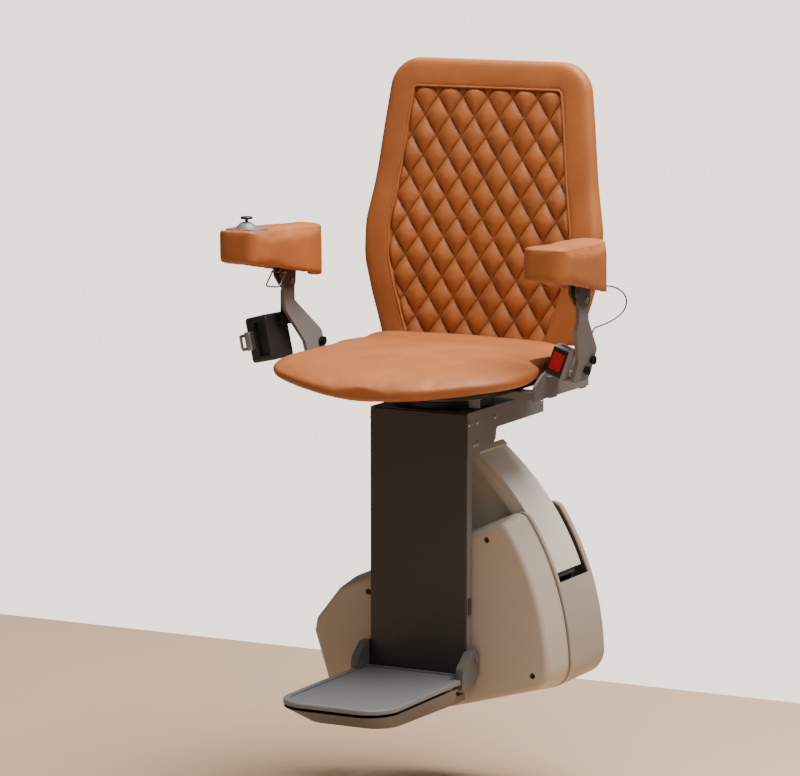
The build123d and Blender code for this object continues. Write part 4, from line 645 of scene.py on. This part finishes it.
def tube(name, spots, radius, finish, body, closed=False, sides=3):
    """A round bead along these places."""
    bead = bpy.data.curves.new(name, "CURVE")
    bead.dimensions = "3D"
    bead.bevel_depth = radius
    bead.bevel_resolution = sides
    bead.use_fill_caps = True
    spline = bead.splines.new("POLY")
    spline.points.add(len(spots) - 1)
    for point, spot in zip(spline.points, spots):
        point.co = (*spot, 1)
    spline.use_cyclic_u = closed
    drawn = bpy.data.objects.new(name, bead)
    bpy.context.scene.collection.objects.link(drawn)
    mesh = evaluated(drawn)
    bpy.data.objects.remove(drawn)
    mesh.materials.clear()
    mesh.materials.append(finish.material)
    mesh.shade_smooth()
    made = bpy.data.objects.new(name, mesh)
    bpy.context.scene.collection.objects.link(made)
    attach(made, body)
    return made


def above_seat(ring, y):
    """The part of a ring round the back that shows, from the bottom left over the top to the bottom right."""
    spots = list(ring)
    low = min(range(len(spots)), key=lambda n: (spots[n].z, abs(spots[n].x)))
    spots = spots[low:] + spots[:low]
    line = [Vector((spot.x, y, spot.z)) for spot in spots if spot.z > BACK_FOOT + 0.002]
    for spot in line:
        winged(spot)
    return [BACK @ spot for spot in line]


piping_hide = hide("piping_hide")
back_piping = tube("back_piping", above_seat(rings[9], 0.0012), 0.0021, piping_hide, "turntable")


def stitches(name, runs, finish, body, length=0.0034, radius=0.00055):
    """Short thread stitches; each run is a list of (place, direction)."""
    form = bmesh.new()
    bmesh.ops.create_uvsphere(form, u_segments=6, v_segments=4, radius=1.0)
    stitch = bpy.data.meshes.new(name + "_one")
    form.to_mesh(stitch)
    form.free()
    form = bmesh.new()
    for spot, along in runs:
        turn = along.to_track_quat("Z", "Y").to_matrix().to_4x4()
        shape = Matrix.Translation(spot) @ turn @ Matrix.Diagonal((radius, radius, length / 2, 1))
        one = stitch.copy()
        one.transform(shape)
        form.from_mesh(one)
        bpy.data.meshes.remove(one)
    bpy.data.meshes.remove(stitch)
    made = piece(name, form, finish, body, 80)
    return made


def paced(spots, pace):
    """Evenly spaced (place, direction) pairs along a line of places."""
    runs = []
    left = pace / 2
    for first, second in zip(spots, spots[1:]):
        gap = (second - first).length
        while left < gap:
            runs.append((first.lerp(second, left / gap), (second - first).normalized()))
            left += pace
        left -= gap
    return runs


thread = Finish("back_thread", (0.15, 0.042, 0.011), 0.6)
thread.paint(base_color=thread.shade(thread.cloud(900), 0.8, 1.2))
thread.bump(thread.cloud(3000, 2, (1, 1, 0.4)), 0.00005)
runs = paced(above_seat(rings[7], 0.0), 0.0048)
lattice = []
for lean in (1, -1):
    for line_number in range(-12, 13):
        line_spots = []
        for tick in range(-60, 120):
            h = MIDDLE + tick * 5.0 * DIAMOND_HEIGHT / 77.66
            x = DIAMOND_WIDTH * (line_number + 0.5) - lean * (h - MIDDLE) * DIAMOND_WIDTH / DIAMOND_HEIGHT
            line_spots.append((x, h))
        lattice.append((lean, np.array(line_spots)))
for lean, line_spots in lattice:
    inside, _ = edge_distance(line_spots, panel_loop)
    along = BACK.to_3x3() @ Vector((-lean * DIAMOND_WIDTH, 0, DIAMOND_HEIGHT)).normalized()
    for (x, h), clear in zip(line_spots, inside):
        if clear > 2.5 and h > 2:
            spot = Vector((x / 1000, 0.0055, h / 1000))
            winged(spot)
            runs.append((BACK @ spot, along))
back_stitches = stitches("back_stitches", runs, thread, "turntable")

# ---------------------------------------------------------------- arms
# Each arm is a padded steel plate on a hinge at the post's top. The pad is foam under tan hide,
# with a stitched seam along its upper edge.
def softened(x, y, corner_x, corner_y, inward_x, inward_y, radius):
    """Draw a square corner of the plan in to this radius."""
    a = (x - (corner_x + inward_x * radius)) / (-inward_x * radius)
    b = (y - (corner_y + inward_y * radius)) / (-inward_y * radius)
    near = (a > 0) & (b > 0)
    a_in = np.clip(a, 0, 1)
    b_in = np.clip(b, 0, 1)
    drawn_x = corner_x + inward_x * radius * (1 - a_in * np.sqrt(1 - b_in ** 2 / 2))
    drawn_y = corner_y + inward_y * radius * (1 - b_in * np.sqrt(1 - a_in ** 2 / 2))
    return np.where(near, drawn_x, x), np.where(near, drawn_y, y)


def arm_shape(spots):
    """The pad's nose comes forward and its corners are round; its skirt hangs a little lower."""
    x, y, z = ((spots - HOME) * 1000).T
    side = np.sign(x.mean())
    x = x * side
    y = y - 12 * between(-y, 110, 192) + 4 * between(y, -30, 15)
    fore = between(-y, 60, 190)
    x = x + 3 * fore * between(x, 262, 297) - 3 * fore * between(-x, -262, -232)
    x, y = softened(x, y, 300, -206, -1, 1, 26)
    x, y = softened(x, y, 228, -206, 1, 1, 18)
    x, y = softened(x, y, 274, 20, -1, -1, 14)
    x, y = softened(x, y, 222, 20, 1, -1, 12)
    z = z + 2.5 * between(z, 245, 268) - 5 * between(-z, -235, -205)
    return np.column_stack((x * side, y, z)) / 1000 + HOME


def girth(piece, spot, normal):
    """The longest closed line in which a plane cuts the piece."""
    form = bmesh.new()
    form.from_mesh(piece.data)
    cut = bmesh.ops.bisect_plane(form, geom=form.verts[:] + form.edges[:] + form.faces[:], dist=0.000001,
                                 plane_co=spot, plane_no=normal)
    edges = {item for item in cut["geom_cut"] if isinstance(item, bmesh.types.BMEdge)}
    best = []
    while edges:
        edge = edges.pop()
        line = [edge.verts[0], edge.verts[1]]
        growing = True
        while growing:
            growing = False
            for edge in line[-1].link_edges:
                if edge in edges:
                    edges.remove(edge)
                    line.append(edge.other_vert(line[-1]))
                    growing = True
                    break
        if len(line) > len(best):
            best = line
    spots = [vert.co.copy() for vert in best]
    form.free()
    return spots


pad_hide = hide("arm_pad_hide")
arm_thread = Finish("arm_thread", (0.20, 0.055, 0.014), 0.6)
arm_thread.paint(base_color=arm_thread.shade(arm_thread.cloud(900), 0.8, 1.2))
arm_thread.bump(arm_thread.cloud(3000, 2, (1, 1, 0.4)), 0.00005)
for side in ("left", "right"):
    pad = stuffed("arm_rest_" + side, "arm_pad_" + side, 0.0035, 0.0015, 0.003, arm_shape)
    pad.data.materials.clear()
    pad.data.materials.append(pad_hide.material)
    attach(pad, side + "_arm")
    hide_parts("arm_pad_" + side)
    seam = girth(pad, at(0, -190, 272.5), (0, 0.04, 1))
    seam_stitches = stitches("arm_stitches_" + side, paced(seam, 0.0045), arm_thread, side + "_arm",
                             0.003, 0.0005)
knob_plastic = moulded("knob_moulding", (0.016, 0.016, 0.017), 0.4)
knob_plastic.dress("joystick")
arm_coat = coated("arm_plate_coat", (0.06, 0.057, 0.054), 0.4)
arm_coat.dress("arm_base_left", "arm_base_right")
bright_steel.dress("release_lever")

# ---------------------------------------------------------------- belt and buckle
# Black woven webbing on a sprung spool, a bright tongue, and a grey buckle with a red button.
webbing = Finish("belt_webbing", (0.012, 0.012, 0.012), 0.75)
weave = webbing.cloud(1400, 1, (1, 0.3, 1))
webbing.paint(base_color=webbing.shade(weave, 0.6, 1.5))
webbing.bump(weave, 0.0002)
webbing.dress("belt_spool", "belt_webbing")
bright_steel.dress("belt_tongue")
buckle_plastic = Finish("buckle_moulding", (0.19, 0.185, 0.185), 0.42)
spot = buckle_plastic.node("ShaderNodeTexCoord", {}, {}, "Object")
forward = 0.0 - buckle_plastic.node("ShaderNodeSeparateXYZ", {}, {"Vector": spot}, 1)
face = forward.above(0.1026, 0.0004)
mottled = buckle_plastic.shade(buckle_plastic.cloud(40, 3), 0.94, 1.06)
buckle_plastic.paint(base_color=buckle_plastic.mix(face, mottled, (0.012, 0.012, 0.013, 1)),
                     roughness=0.37 + 0.1 * buckle_plastic.cloud(200))
buckle_plastic.bump(buckle_plastic.cloud(1800, 3), 0.00004)
buckle_plastic.dress("buckle_housing")
red = Finish("red_button", (0.46, 0.004, 0.022), 0.25, coat_weight=0.3)
red.paint(base_color=red.shade(red.cloud(60), 0.92, 1.08))
red.bump(red.cloud(900), 0.00002)
red.dress("buckle_button")
